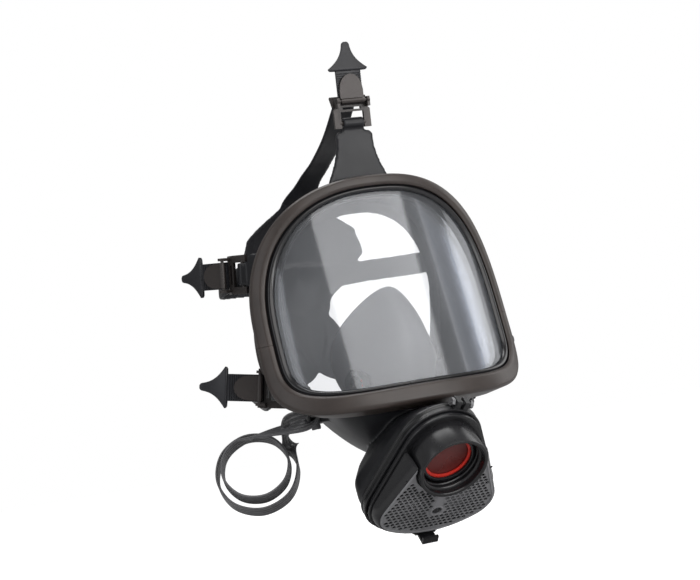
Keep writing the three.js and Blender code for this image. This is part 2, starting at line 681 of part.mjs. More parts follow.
function clampBand() {
  const band = cut(portPrism(BAND.outer, BAND.back, BAND.front), portPrism(BAND.inner, -50, -20));
  const middle = (BAND.back + BAND.front) / 2;
  const lugAt = [PORT.top * Math.cos(BAND.lugTurn), PORT.top * Math.sin(BAND.lugTurn), middle];
  const place = (solid) => solid.rotate([0, 0, BAND.lugTurn / DEGREE]).translate(lugAt);
  const lugs = place(join(box(9, 4, 6.6, [3.6, -2 - BAND.gap, 0]), box(9, 4, 6.6, [3.6, 2 + BAND.gap, 0])));
  const split = place(box(14, 2 * BAND.gap, 12, [2, 0, 0]));
  const screwHole = place(box(2.6 + 2 * GAP, 20, 2.6 + 2 * GAP, [5.4, 0, 0]));
  const keepClear = portPrism(BAND.inner, -50, -20);
  return { solid: cut(join(band, lugs), split, screwHole, keepClear), place };
}

function addPort() {
  const add = (name, shape, look) => addPiece(name, shape, look, portFrame);
  add("valve_housing", housingSolid(), HOUSING_PLASTIC);
  const { solid, place } = clampBand();
  add("clamp_band", solid, HOUSING_PLASTIC);
  const shank = rod(1.3, -8.4, 8.4, [0, 0], 12);
  const screwHead = ringOf(2.7, 1.25, 6.2, 8.2, [0, 0], 12);
  const slotted = cut(join(shank, screwHead), box(6, 0.6, 1, [0, 0, 8.2]));
  add("clamp_screw", place(slotted.rotate([90, 0, 0]).translate([5.4, 0, 0])), STEEL);
  const clampNut = ringOf(2.7, 1.3 + GAP, -8, -5.9, [0, 0], 6);
  add("clamp_nut", place(clampNut.rotate([90, 0, 0]).translate([5.4, 0, 0])), STEEL);
  add("sealing_washer", ringOf(17.9, 15.6, -18.7, -16.9, [0, 0], 28), RUBBER);
  add("inhalation_valve_seat", ringOf(17.9, 14.2, -20.35, -19.05, [0, 0], 28), RED_SILICONE);
  const inhaleDisc = rod(16.3, -21.8, -20.7, [0, 0], 28);
  add("inhalation_valve_disc", inhaleDisc, DISC_FILM);
  const exhale = [-VALVE.u, VALVE.v];
  const speech = [VALVE.u, VALVE.v];
  add("exhalation_valve_seat", ringOf(VALVE.seat, VALVE.bore, -26.65, -25.2, exhale), HOUSING_PLASTIC);
  add("exhalation_valve_disc", rod(VALVE.disc, -24.85, -23.8, exhale), RED_SILICONE);
  add("exhalation_valve_spring", coilSpring(exhale, -23.1, -21.6, 5.2, 3.2, 0.35, 2), STEEL);
  add("speech_diaphragm", rod(VALVE.disc + 0.8, -26.65, -26.2, speech), STEEL);
  add("diaphragm_ring", ringOf(VALVE.seat, VALVE.bore, -25.85, -23.6, speech), HOUSING_PLASTIC);
  add("valve_cover", coverSolid(), COVER_PLASTIC);
  const { v, w, half, pin } = CLIP;
  const clip = join(
    crossRod(2.3, 14, v, w, 12),
    block([-half, v - 2, w + 1.8], [half, v - 0.3, -19]),
    block([-half, v - 2, -20.2], [half, v + 3, -18.6]),
  );
  const clipBore = crossRod(pin + GAP, 20, v, w, 12);
  add("cover_clip", cut(clip, clipBore), HOUSING_PLASTIC);
}

// ---- nose cup -----------------------------------------------------------------------------------------

const CUP = { halfWidth: 37, noseZ: 0, chinZ: -84, wall: 2, valveHole: 7.6 };
// Rings of the cup's neck in the port's frame: height along the axis, middle, half width, half height.
const CUP_NECK = { z: -62, v: -33, halfU: 22, halfV: 13 };
const CUP_WAIST = { z: -73, v: -21, halfU: 19, halfV: 15 };

// Rim of the nose cup against the face: over the nose, round the mouth, under the lip.
function cupRim(angle) {
  const middle = (CUP.noseZ + CUP.chinZ) / 2;
  const rise = Math.max(0, Math.sin(angle));
  const x = CUP.halfWidth * Math.cos(angle) * (1 - 0.35 * rise ** 2);
  const z = middle + ((CUP.noseZ - CUP.chinZ) / 2) * Math.sin(angle);
  return vec(x, -14 - 26 * rise ** 2 + 0.1 * Math.abs(x), z);
}

// Wall of the cup from its rim to the spigot, raised off its outer side by a given amount.
function cupCurve(angle, raise) {
  const world = (u, v, z) => vec(u, v, z).applyMatrix4(portFrame.matrixWorld);
  const ring = ({ z, v, halfU, halfV }) =>
    world((halfU + raise) * Math.cos(angle), v + (halfV + raise) * Math.sin(angle), z);
  const [collarU, collarV] = spigotPoint(angle, CUP.wall + GAP + raise);
  const collar = world(collarU, collarV, SPIGOT.back - 0.8);
  const rim = cupRim(angle);
  const outwards = vec(rim.x, 0, rim.z - (CUP.noseZ + CUP.chinZ) / 2).normalize();
  rim.addScaledVector(outwards, raise);
  const waist = ring(CUP_WAIST);
  const rise = Math.max(0, Math.sin(angle));
  const belly = rim.clone().lerp(waist, 0.45).addScaledVector(outwards, 3);
  belly.y -= 6 + 12 * rise + raise * 0.6;
  return new THREE.CatmullRomCurve3([rim, belly, waist, ring(CUP_NECK), collar], false, "centripetal").getPoints(7);
}

function cupSection(angle) {
  const [outerU, outerV] = spigotPoint(angle, CUP.wall + GAP);
  const [innerU, innerV] = spigotPoint(angle, GAP);
  const edge = (u, v) => vec(u, v, SPIGOT.back + 4).applyMatrix4(portFrame.matrixWorld);
  const inside = cupCurve(angle, -CUP.wall).reverse();
  return [...cupCurve(angle, 0), edge(outerU, outerV), edge(innerU, innerV), ...inside];
}

// Centre and outward direction of a nose cup valve.
function cupValveFrame(side) {
  const curve = cupSection(side > 0 ? 18 * DEGREE : 162 * DEGREE);
  return setFrame(curve[2], vec(0, 0, 1), vec(side * 0.86, -0.5, 0.1));
}

function addNoseCup() {
  const angles = Array.from({ length: SPIGOT.stations }, (_, i) => (2 * Math.PI * i) / SPIGOT.stations);
  let cup = skin(angles.map(cupSection), { looped: true });
  for (const [side, name] of [[-1, "right"], [1, "left"]]) {
    const frame = cupValveFrame(side);
    mask.add(frame);
    const place = (solid) => solid.transform(toArray(frame.matrixWorld));
    cup = cut(cup, place(rod(CUP.valveHole + GAP, -8, 8)));
    const seat = join(
      ringOf(CUP.valveHole, 5.6, -5, 3.4),
      ringOf(9.6, 5.6, 3.2, 4.8),
      spider(5.8, 2.2, 3.4),
    );
    addPiece(`nose_cup_valve_seat_${name}`, seat, HOUSING_PLASTIC, frame);
    addPiece(`nose_cup_valve_disc_${name}`, rod(7.2, -6.4, -5.4), RED_SILICONE, frame);
  }
  addPiece("nose_cup", cup, COVER_PLASTIC);
}

// ---- buckles and strap ends, in each set's own frame ------------------------------------------------------

function buckleFrame() {
  const { half, foot, top, plate, openHalf, opening, bar } = BUCKLE;
  const corner = 3;
  const outline = [
    [-half, foot],
    [-openHalf, foot],
    [-openHalf, opening],
    [openHalf, opening],
    [openHalf, foot],
    [half, foot],
    [half, top - corner],
    [half - corner, top],
    [-half + corner, top],
    [-half, top - corner],
  ];
  const jaw = box(2 * half, 8, 1.6).rotate([-32, 0, 0]).translate([0, top + 2.6, -3.2]);
  const earThickness = 1.8;
  const earX = LEVER.half + GAP + 0.6 + earThickness / 2 + 0.6;
  const ears = [-1, 1].map((side) =>
    join(
      box(earThickness, 6.4, 7.8, [side * earX, top + 1.6, 2.4]),
      crossRod(LEVER.pin + 1.2, earThickness, LEVER.y, LEVER.z).translate([side * earX, 0, 0]),
    ),
  );
  const slot = box(13, 1.6, 6, [0, 9.8, 0]);
  const lower = crossRod(bar, 2 * openHalf + 2, 0, 0);
  return cut(
    join(extruded(outline, -plate, plate), lower, jaw, ...ears),
    slot,
    crossRod(LEVER.pin + GAP, 40, LEVER.y, LEVER.z),
  );
}

function leverSolid() {
  const { y, z, barrel, pin, half, straight, round } = LEVER;
  const start = y + straight;
  const arc = Array.from({ length: 9 }, (_, i) => {
    const a = (Math.PI * i) / 8;
    return [half * Math.cos(a), start + round * Math.sin(a)];
  });
  const tongue = extruded([[-half, y], [half, y], ...arc], 2.7, 4.4);
  return join(crossRod(barrel, 2 * half, y, z), tongue, crossRod(pin, 2 * half + 6.2, y, z));
}

function strapEnd(drawn) {
  const { half, low, high, start } = STRAP;
  const base = ARROW.base + drawn;
  const tip = ARROW.tip + drawn;
  const blade = block([-half, start, low], [half, base + 2, high]);
  const side = new THREE.CubicBezierCurve(
    new THREE.Vector2(ARROW.half, base + 1.4),
    new THREE.Vector2(ARROW.half * 0.5, base + 6),
    new THREE.Vector2(3.4, base + 10),
    new THREE.Vector2(2.5, tip - 2),
  ).getPoints(5);
  const flank = side.map((p) => [p.x, p.y]);
  const right = [[half, base], [ARROW.half - 0.6, base], ...flank, [1.3, tip - 0.4]];
  const left = right.map(([x, y]) => [-x, y]).reverse();
  return join(blade, extruded([...right, [0, tip], ...left], low, high + ARROW.step));
}

function addStraps() {
  const frameShape = geometryOf(buckleFrame());
  const leverShape = geometryOf(leverSolid());
  for (const set of STRAP_SETS) {
    mask.add(set.frame);
    addPiece(`buckle_frame_${set.name}`, frameShape, BUCKLE_METAL, set.frame);
    addPiece(`buckle_lever_${set.name}`, leverShape, BUCKLE_METAL, set.frame);
    addPiece(`strap_end_${set.name}`, strapEnd(set.drawn), HARNESS_RUBBER, set.frame);
  }
}

// ---- head harness and carrying strap --------------------------------------------------------------------

// Ribbon along a smooth curve. Each station is [point, half width, direction the wide side faces]. The ribbon is
// flat across its width unless it is bent round the head with the given radius.
function ribbon(stations, thickness, count, bend = Infinity) {
  const columns = bend === Infinity ? [1, -1] : [1, 0.4, -0.4, -1];
  const corners = [...columns.map((a) => [a, 0.5]), ...columns.map((a) => [-a, -0.5])];
  const path = new THREE.CatmullRomCurve3(stations.map(([point]) => point), false, "centripetal");
  const sections = Array.from({ length: count + 1 }, (_, i) => {
    const share = i / count;
    const at = share * (stations.length - 1);
    const here = Math.min(stations.length - 2, Math.floor(at));
    const mix = at - here;
    const [, half, face] = stations[here];
    const [, nextHalf, nextFace] = stations[here + 1];
    const point = path.getPoint(share);
    const tangent = path.getTangent(share);
    const wide = tangent.clone().cross(face.clone().lerp(nextFace, mix)).normalize();
    const normal = wide.clone().cross(tangent);
    const reach = half + (nextHalf - half) * mix;
    return corners.map(([a, b]) => {
      const sag = (a * reach) ** 2 / (2 * bend);
      return point.clone().addScaledVector(wide, a * reach).addScaledVector(normal, b * thickness - sag);
    });
  });
  return skin(sections);
}

const HEAD = vec(0, 20, 10); // middle of the wearer's head
const HARNESS = { thickness: 2, bend: 60, armRise: 12, armDrop: 14 };
// Stations of the harness arms as [x, y, z, half width], from a buckle or from the plate at the back of the head.
const CROWN = [
  [0, 8, 113, 9],
  [0, 38, 103, 9],
  [0, 72, 95, 10],
  [0, 100, 85, 15],
  [0, 118, 70, 44],
  [0, 127, 50, 48],
  [0, 131, 28, 36],
  [0, 131, 10, 22],
  [0, 130, -6, 17],
];
const TEMPLE_ARM = [
  [0, 131, 31, 12],
  [26, 125, 31, 9.5],
  [54, 104, 29, 8.5],
  [78, 72, 26, 8.5],
  [84, 44, 25, 8.8],
];
const CHEEK_ARM = [
  [0, 130, 4, 16],
  [6, 128, -12, 19],
  [16, 123, -30, 20],
  [36, 108, -46, 13],
  [60, 80, -57, 9],
  [74, 46, -58, 9],
];

// Where a harness arm ends, behind its buckle.
const armEnd = ({ frame }) => vec(0, HARNESS.armRise, -HARNESS.armDrop).applyMatrix4(frame.matrixWorld);

function addHarness() {
  const arm = (points, count) =>
    ribbon(
      points.map(([x, y, z, half]) => [vec(x, y, z), half, vec(x, y, z).sub(HEAD)]),
      HARNESS.thickness,
      count,
      HARNESS.bend,
    );
  const arms = STRAP_SETS.map((set) => {
    const end = [...armEnd(set).toArray(), STRAP.half];
    if (set.name === "top") return arm([end, ...CROWN], 15);
    const mirrored = (set.name.startsWith("temple") ? TEMPLE_ARM : CHEEK_ARM).map(([x, ...rest]) => [
      Math.sign(set.at.x) * x,
      ...rest,
    ]);
    return arm([...mirrored, end], 10);
  });
  addPiece("head_harness", join(...arms), HARNESS_RUBBER);
}

const CARRY = { half: 6.3, thickness: 1.6, eye: 3, eyeLength: 7, clear: 3.2 };

// The strap's coil beside the right cheek: its middle, the way its open side faces, and its turns.
const COIL = {
  middle: vec(-90.8, 20, -106),
  faces: vec(-0.33, -0.85, 0.4).normalize(),
  inner: 20,
  outer: 28,
  start: 110,
  sweep: 610,
  near: 13,
  far: -3,
  stations: 14,
};

// Carrying strap: from the right stud, coiled beside the cheek, round behind the neck to the left stud.
function addCarryingStrap() {
  const { middle, faces, inner, outer, start, sweep, near, far, stations } = COIL;
  const level = vec(0, 0, 1).cross(faces).normalize();
  const up = faces.clone().cross(level);
  const coil = Array.from({ length: stations + 1 }, (_, i) => {
    const share = i / stations;
    const angle = (start + sweep * share) * DEGREE;
    const radial = level.clone().multiplyScalar(Math.cos(angle)).addScaledVector(up, Math.sin(angle));
    const point = middle.clone().addScaledVector(radial, inner + (outer - inner) * share);
    return [point.addScaledVector(faces, near + (far - near) * share), CARRY.half, radial];
  });
  const eyeX = STUD.x + CARRY.clear;
  const eye = (side, y) => [vec(side * (eyeX + 0.5), STUD.y + y, STUD.z), CARRY.half, vec(side, 0, 0)];
  const lead = [vec(-66, -26, -80), CARRY.half, vec(-0.6, -0.4, 0.7).normalize()];
  const neck = [[-64, 26, -80], [-40, 44, -74], [0, 52, -74], [40, 44, -74], [64, 26, -76], [66, 4, -78]].map(
    ([x, y, z]) => [vec(x, y, z), CARRY.half, vec(x, y + 20, 0).normalize()],
  );
  const path = [eye(-1, CARRY.eyeLength), eye(-1, -CARRY.eyeLength), lead, ...coil, ...neck];
  const strap = ribbon([...path, eye(1, CARRY.eyeLength), eye(1, -CARRY.eyeLength)], CARRY.thickness, 84);
  const eyes = crossRod(CARRY.eye, 300, STUD.y, STUD.z);
  addPiece("carrying_strap", cut(strap, eyes), HARNESS_RUBBER);
}

addFrame();
addFacepiece();
addPort();
addNoseCup();
addStraps();
addHarness();
addCarryingStrap();

// The origin is the middle of the whole object's box.
mask.updateMatrixWorld(true);
mask.position.copy(new THREE.Box3().setFromObject(mask, true).getCenter(vec(0, 0, 0))).negate();
const respirator = new THREE.Group();
respirator.add(mask);
export default respirator;
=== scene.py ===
"""Looks of a full face respirator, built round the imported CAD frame: smooth moulded rubber, clamped visor,
threaded connector, grille cover, nose cup, harness and straps, with a camera, soft light and a pale floor."""

import json
from math import acos, atan2, copysign, cos, degrees, dist, hypot, pi, radians, sin, sqrt, tan

import bmesh
import bpy
import numpy as np
from mathutils import Matrix, Vector


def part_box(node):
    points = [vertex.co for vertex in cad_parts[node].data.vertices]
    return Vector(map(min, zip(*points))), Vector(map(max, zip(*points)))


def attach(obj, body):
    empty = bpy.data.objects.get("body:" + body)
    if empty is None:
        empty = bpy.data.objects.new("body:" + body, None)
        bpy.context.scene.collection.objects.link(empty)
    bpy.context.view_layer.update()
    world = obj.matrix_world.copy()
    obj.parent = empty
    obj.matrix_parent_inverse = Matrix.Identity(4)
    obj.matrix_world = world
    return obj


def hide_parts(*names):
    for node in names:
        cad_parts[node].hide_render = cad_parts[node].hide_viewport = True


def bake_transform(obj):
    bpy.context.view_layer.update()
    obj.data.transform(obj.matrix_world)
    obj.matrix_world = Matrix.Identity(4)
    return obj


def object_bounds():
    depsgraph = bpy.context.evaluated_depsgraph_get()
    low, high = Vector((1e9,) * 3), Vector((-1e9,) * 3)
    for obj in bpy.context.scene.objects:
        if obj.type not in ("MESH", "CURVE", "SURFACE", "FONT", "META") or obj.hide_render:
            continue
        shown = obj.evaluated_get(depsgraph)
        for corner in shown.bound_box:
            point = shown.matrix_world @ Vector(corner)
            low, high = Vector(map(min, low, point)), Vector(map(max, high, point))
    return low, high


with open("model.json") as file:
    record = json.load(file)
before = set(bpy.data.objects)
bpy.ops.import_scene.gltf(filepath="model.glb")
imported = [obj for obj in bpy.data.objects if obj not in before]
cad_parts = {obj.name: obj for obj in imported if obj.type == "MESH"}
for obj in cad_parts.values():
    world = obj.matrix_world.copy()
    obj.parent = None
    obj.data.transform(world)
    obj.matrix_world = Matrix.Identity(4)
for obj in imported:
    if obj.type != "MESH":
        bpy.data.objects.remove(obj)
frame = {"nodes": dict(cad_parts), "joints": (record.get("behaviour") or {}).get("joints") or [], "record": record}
CAD_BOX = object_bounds()

JOINTS = {joint["name"]: joint for joint in frame["joints"]}
MM = 0.001
SET_NAMES = ("top", "temple_right", "temple_left", "cheek_right", "cheek_left")

# ---- driving dimensions, in millimetres

# Superellipse outline of the frame, and the leaning cylinder that the lens is part of.
FRAME = {"half": 86, "mid_z": -24, "up": 97, "down": 56, "top_power": 2.55, "bottom_power": 5.2}
LENS = {"radius": 105, "apex_y": -59, "lean": 0.22, "thickness": 2.6, "edge": 4.7}
FACE = {"side": 7.5, "top": 7.5, "bottom": 11.5}  # width of the frame's front face
CHANNEL = {"wall": 2.2, "front": 6.4, "front_inner": 3.65, "back": -9.4, "back_inner": -7.4, "lip": 6}
GASKET_SHOWN = 3.6
SEAM_Z = -27
GAP = 0.35
RING_STATIONS = 168
ARC_STEP = 5  # degrees between points round the port

SEAL = {"half": 71, "mid_z": 5, "up": 61, "down": 116, "top_power": 2.2, "bottom_power": 1.65}
SEAL_DEPTH = {"forehead": -8, "temple": 38, "chin": 10}
LIP = 11
WALL = 2.6
WALL_STEPS = 16
RUBBER_VOXEL = 1.0
AIM = np.array((0, -33.0, -8.0))  # what the camera looks at: the middle of the lens

PORT = {"top": 26.5, "corner_u": 22, "corner_v": -42.5, "corner": 21, "sill": 61}
CONNECTOR = {"rim": -8, "outer": 22.9, "thread": 20.4, "crest": 18.7, "pitch": 3.63, "turns": 2.3}
PLATE = {"back": -29.3, "front": -27}
SPIDER_HUB = 2.6
VALVE = {"u": 16.6, "v": -43.5, "opening": 10.2}
POST_V = VALVE["v"] - 2  # height of the cover's centre post
SPIGOT = {"v": -42, "half": 15.5, "radius": 13.6, "wall": 2, "back": -48}
COVER = {"tilt": radians(9), "near_v": -23, "near_z": -15, "wall": 1.8, "top": 3, "skirt": -26.6}
GRILLE = {"pitch": 3.45, "hole": 1.5, "rim": 6.3, "collar": 3.4, "panel": 3.3, "sides": 10}
CLIP_V, CLIP_W = -72.1, -28.4
BAND = {"inner": 0.4, "outer": 2.5, "back": -37.6, "front": -30.7, "gap": 1.2, "lug_turn": radians(70)}
NECK_MIDDLE = -30
# Neck of the rubber as height, and shares of the port outline's width and height.
NECK_LEVELS = (
    (-29.8, 1, 1),
    (-37.9, 1, 1),
    (-43, 1.05, 0.96),
    (-52, 1.03, 0.8),
    (-62, 0.88, 0.6),
    (-80, 0.5, 0.3),
)

CUP = {"half": 37, "nose_z": 0, "chin_z": -84, "wall": 2, "valve_hole": 7.6}
CUP_NECK = {"z": -62, "v": -33, "u": 22, "h": 13}
CUP_WAIST = {"z": -73, "v": -21, "u": 19, "h": 15}

STRAP = {"half": 9, "low": 0.2, "high": 2, "start": 12.5, "base": 33.6, "tip": 53, "arrow": 13.8, "step": 0.5}
DRAWN = {"top": 1, "temple": 3, "cheek": 4}
RIB_PITCH = 1.5
BUCKLE_HALF = 13
LOOP = {"outer": 3.7, "inner": 1.9, "half": 7.6, "shoulder": -5.6}
# How far each tab reaches, and its half width there.
TABS = {"top": (51, 25), "temple": (20.5, 14), "cheek": (19, 13)}
STUD = {"x": 52, "y": -14, "z": -78, "shank": 2.4, "head": 4.2, "reach": 8}
HARNESS = {"thickness": 2, "bend": 60, "rise": 12, "drop": 14}
HEAD = np.array((0, 20, 10.0))
# Stations of the harness arms as x, y, z and half width, from a buckle or from the plate behind the head.
CROWN = (
    (0, 8, 113, 9),
    (0, 38, 103, 9),
    (0, 72, 95, 10),
    (0, 100, 85, 15),
    (0, 118, 70, 44),
    (0, 127, 50, 48),
    (0, 131, 28, 36),
    (0, 131, 10, 22),
    (0, 130, -6, 17),
)
TEMPLE_ARM = ((0, 131, 31, 12), (26, 125, 31, 9.5), (54, 104, 29, 8.5), (78, 72, 26, 8.5), (84, 44, 25, 8.8))
CHEEK_ARM = (
    (0, 130, 4, 16),
    (6, 128, -12, 19),
    (16, 123, -30, 20),
    (36, 108, -46, 13),
    (60, 80, -57, 9),
    (74, 46, -58, 9),
)
CARRY = {"half": 6.3, "thickness": 1.6, "eye": 3, "eye_length": 7, "clear": 3.2, "grooves": 3}
COIL = {"inner": 20, "outer": 28, "start": 110, "sweep": 610, "near": 13, "far": -3, "stations": 14}
COIL_MIDDLE = np.array((-90.8, 20, -106.0))
COIL_FACES = np.array((-0.33, -0.85, 0.4))


# ---- places, from the frame


def set_kind(name):
    """Which sort of strap set it is, whatever its side."""
    return name.split("_")[0]


def unit(v):
    return v / np.linalg.norm(v)


def turns(count):
    """Angles of a full turn."""
    return np.arange(count) * 2 * pi / count


def pose(origin, x, y, z):
    """4x4 matrix from a design frame's axes and its origin, both in millimetres."""
    m = np.eye(4)
    m[:3, 0], m[:3, 1], m[:3, 2], m[:3, 3] = x, y, z, origin
    return m


def in_mm(point):
    return np.array(point, float) / MM


SHIFT = in_mm(JOINTS["carrying_strap_swing"]["pos_m"]) - np.array((0, STUD["y"], STUD["z"]))


def set_pose(name):
    """A strap set's frame: x along its hinge, y along its strap end, z outwards."""
    x = unit(np.array(JOINTS["buckle_tilt_" + name]["axis"], float))
    y = unit(np.array(JOINTS["tail_pull_" + name]["axis"], float))
    origin = in_mm(JOINTS["buckle_tilt_" + name]["pos_m"]) - SHIFT
    return pose(origin, x, y, np.cross(x, y))


def port_pose():
    """The connector's frame: z out of the connector, y up the cover."""
    z = unit(np.array(JOINTS["exhalation_flap_lift"]["axis"], float))
    x = np.array((1.0, 0, 0))
    y = np.cross(z, x)
    hinge = in_mm(JOINTS["clip_open"]["pos_m"]) - SHIFT
    return pose(hinge - CLIP_V * y - CLIP_W * z, x, y, z)


SETS = {name: set_pose(name) for name in SET_NAMES}
PORT_POSE = port_pose()


def through(matrix, points):
    points = np.asarray(points, float)
    return points @ matrix[:3, :3].T + matrix[:3, 3]


# ---- mesh helpers


def linked(name, data):
    thing = bpy.data.objects.new(name, data)
    bpy.context.scene.collection.objects.link(thing)
    return thing


def new_object(name, verts, faces):
    """An object from design-frame millimetres, placed in the row frame."""
    mesh = bpy.data.meshes.new(name)
    placed = (np.asarray(verts, float) + SHIFT) * MM
    mesh.from_pydata(placed.tolist(), [], [tuple(int(i) for i in face) for face in faces])
    mesh.update()
    return linked(name, mesh)


def skin(sections, looped=False):
    """Vertices and faces over closed cross-sections of equal length."""
    count = len(sections[0])
    rows = len(sections)
    verts = [np.asarray(section, float) for section in sections]
    faces = []
    for i in range(rows if looped else rows - 1):
        here, there = i * count, ((i + 1) % rows) * count
        for j in range(count):
            k = (j + 1) % count
            faces.append((here + j, here + k, there + k, there + j))
    points = np.concatenate(verts)
    if not looped:
        first, last = points[:count].mean(0), points[-count:].mean(0)
        base = len(points)
        end = (rows - 1) * count
        points = np.vstack([points, first, last])
        for j in range(count):
            k = (j + 1) % count
            faces.append((base, k, j))
            faces.append((base + 1, end + j, end + k))
    return points, faces


def outward(thing):
    """Turns all faces to point outwards."""
    bm = bmesh.new()
    bm.from_mesh(thing.data)
    bmesh.ops.recalc_face_normals(bm, faces=bm.faces)
    if bm.calc_volume(signed=True) < 0:
        bmesh.ops.reverse_faces(bm, faces=bm.faces)
    bm.to_mesh(thing.data)
    bm.free()
    return thing


def solid(name, sections, looped=False):
    return outward(new_object(name, *skin(sections, looped)))


def fillet(corners, radius, steps=3):
    """Closed corner loop with every corner rounded off."""
    corners = np.asarray(corners, float)
    out = []
    for i, corner in enumerate(corners):
        before, after = corners[i - 1] - corner, corners[(i + 1) % len(corners)] - corner
        lengths = np.linalg.norm(before), np.linalg.norm(after)
        reach = min(radius, 0.45 * min(lengths))
        a = corner + before / lengths[0] * reach
        b = corner + after / lengths[1] * reach
        for t in np.linspace(0, 1, steps):
            out.append((1 - t) ** 2 * a + 2 * t * (1 - t) * corner + t**2 * b)
    return np.array(out)


def apply_modifiers(thing):
    depsgraph = bpy.context.evaluated_depsgraph_get()
    mesh = bpy.data.meshes.new_from_object(thing.evaluated_get(depsgraph))
    thing.modifiers.clear()
    thing.data = mesh
    return thing


def boolean(thing, operation, *others):
    """Joins or cuts with the other objects, which are used up."""
    for other in others:
        modifier = thing.modifiers.new("boolean", "BOOLEAN")
        modifier.operation = operation
        modifier.solver = "MANIFOLD"
        modifier.object = other
    apply_modifiers(thing)
    for other in others:
        bpy.data.objects.remove(other)
    return thing


def merged(name, things):
    """One object from several, without joining their surfaces."""
    verts, faces, base = [], [], 0
    for thing in things:
        co = np.array([v.co for v in thing.data.vertices], float)
        verts.append(co / MM - SHIFT)
        faces += [tuple(i + base for i in p.vertices) for p in thing.data.polygons]
        base += len(co)
        bpy.data.objects.remove(thing)
    return new_object(name, np.concatenate(verts), faces)


def remoulded(thing, voxel, smoothing):
    """Fuses crossing shapes into one skin and softens its edges, as moulded rubber has them."""
    remesh = thing.modifiers.new("fuse", "REMESH")
    remesh.mode = "VOXEL"
    remesh.voxel_size = voxel * MM
    smooth = thing.modifiers.new("soften", "SMOOTH")
    smooth.factor = 0.5
    smooth.iterations = smoothing
    return apply_modifiers(thing)


def finish_piece(thing, material, body, nodes=(), sharp=35):
    """Smooth shading, material, body and CAD nodes of a piece; a body that is not a name is not used, and the
    piece is only baked in place.
    """
    mesh = thing.data
    mesh.materials.clear()
    mesh.materials.append(material)
    mesh.shade_smooth()
    if sharp:
        mesh.set_sharp_from_angle(angle=radians(sharp))
    if isinstance(body, str):
        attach(thing, body)
    else:
        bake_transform(thing)
    if nodes:
        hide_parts(*nodes)
    return thing


def lathe(name, profile, matrix=PORT_POSE, sides=96, radius=0.25):
    """Body of revolution about a frame's z from a closed [radius, height] profile, with rounded edges."""
    rounded = fillet(profile, radius, 3)
    r, z = rounded[:, 0], rounded[:, 1]
    sections = []
    for k in range(sides):
        a = 2 * pi * k / sides
        sections.append(through(matrix, np.stack([r * cos(a), r * sin(a), z], 1)))
    return solid(name, sections, looped=True)


def disc(name, radius, low, high, at=(0, 0), sides=96, edge=0.3, matrix=PORT_POSE):
    """Flat round disc with softened edges."""
    levels = [(radius - edge, low), (radius, low + edge), (radius, high - edge), (radius - edge, high)]
    sections = []
    for r, z in levels:
        a = turns(sides)
        ring = np.stack([at[0] + r * np.cos(a), at[1] + r * np.sin(a), a * 0 + z], 1)
        sections.append(through(matrix, ring))
    return solid(name, sections)


def slab(name, low, high, matrix=PORT_POSE):
    """Plain block in a frame, used to cut with."""
    (x0, y0, z0), (x1, y1, z1) = low, high
    rings = [[(x0, y0, z), (x1, y0, z), (x1, y1, z), (x0, y1, z)] for z in (z0, z1)]
    return solid(name, [through(matrix, ring) for ring in rings])


def catmull(points, count):
    """Centripetal Catmull-Rom curve through the points, sampled evenly in its parameter."""
    points = np.asarray(points, float)
    first, last = 2 * points[0] - points[1], 2 * points[-1] - points[-2]
    p = np.vstack([first, points, last])
    out = []
    for share in np.linspace(0, 1, count + 1):
        at = share * (len(points) - 1)
        i = min(int(at), len(points) - 2)
        w = at - i
        a, b, c, d = p[i], p[i + 1], p[i + 2], p[i + 3]
        d0, d1, d2 = (max(sqrt(np.linalg.norm(v)), 1e-4) for v in (b - a, c - b, d - c))
        t1 = ((b - a) / d0 - (c - a) / (d0 + d1) + (c - b) / d1) * d1
        t2 = ((c - b) / d1 - (d - b) / (d1 + d2) + (d - c) / d2) * d1
        h = (2 * b - 2 * c + t1 + t2, -3 * b + 3 * c - 2 * t1 - t2, t1, b)
        out.append(((h[0] * w + h[1]) * w + h[2]) * w + h[3])
    return np.array(out)


# ---- frame outline, lens surface and seal


def signed_power(value, power):
    return copysign(abs(value) ** power, value)


def outline(angle, inset):
    """Point of the frame's outline, inset evenly or by its side, top and bottom amounts."""
    side, top, bottom = inset if isinstance(inset, tuple) else (inset,) * 3
    upper = sin(angle) >= 0
    power = 2 / (FRAME["top_power"] if upper else FRAME["bottom_power"])
    height = FRAME["up"] - top if upper else FRAME["down"] - bottom
    x = (FRAME["half"] - side) * signed_power(cos(angle), power)
    return x, FRAME["mid_z"] + height * signed_power(sin(angle), power)


def face(extra=0):
    return (FACE["side"] + extra, FACE["top"] + extra, FACE["bottom"] + extra)


def off_lens(x, z, rise):
    """Point at x, z, raised off the lens's middle surface."""
    reach = min(abs(x), LENS["radius"] * 0.97)
    root = sqrt(LENS["radius"] ** 2 - reach**2)
    normal = unit(np.array((copysign(reach, x) / root, -1, LENS["lean"])))
    y = LENS["apex_y"] + LENS["radius"] - root + LENS["lean"] * z
    return np.array((x, y, z)) + normal * rise


def rail(angle, inset, rise):
    return off_lens(*outline(angle, inset), rise)


def rails(angle, corners):
    """Cross-section from [inset, rise] corners."""
    return [rail(angle, inset, rise) for inset, rise in corners]


def even_angles(count):
    """Angles that step evenly along the frame's outline, starting at the wearer's left."""
    near = np.geomspace(1e-9, pi / 4, 300)
    corners = [k * pi / 2 for k in range(5)]
    fine = sorted({a for c in corners for a in (*(c + near), *(c - near), c) if 0 <= a <= 2 * pi})
    points = np.array([rail(a, 0, 0) for a in fine])
    lengths = np.concatenate([[0], np.cumsum(np.linalg.norm(np.diff(points, axis=0), axis=1))])
    return np.interp(np.arange(count) * lengths[-1] / count, lengths, fine)


ROUND = even_angles(RING_STATIONS)


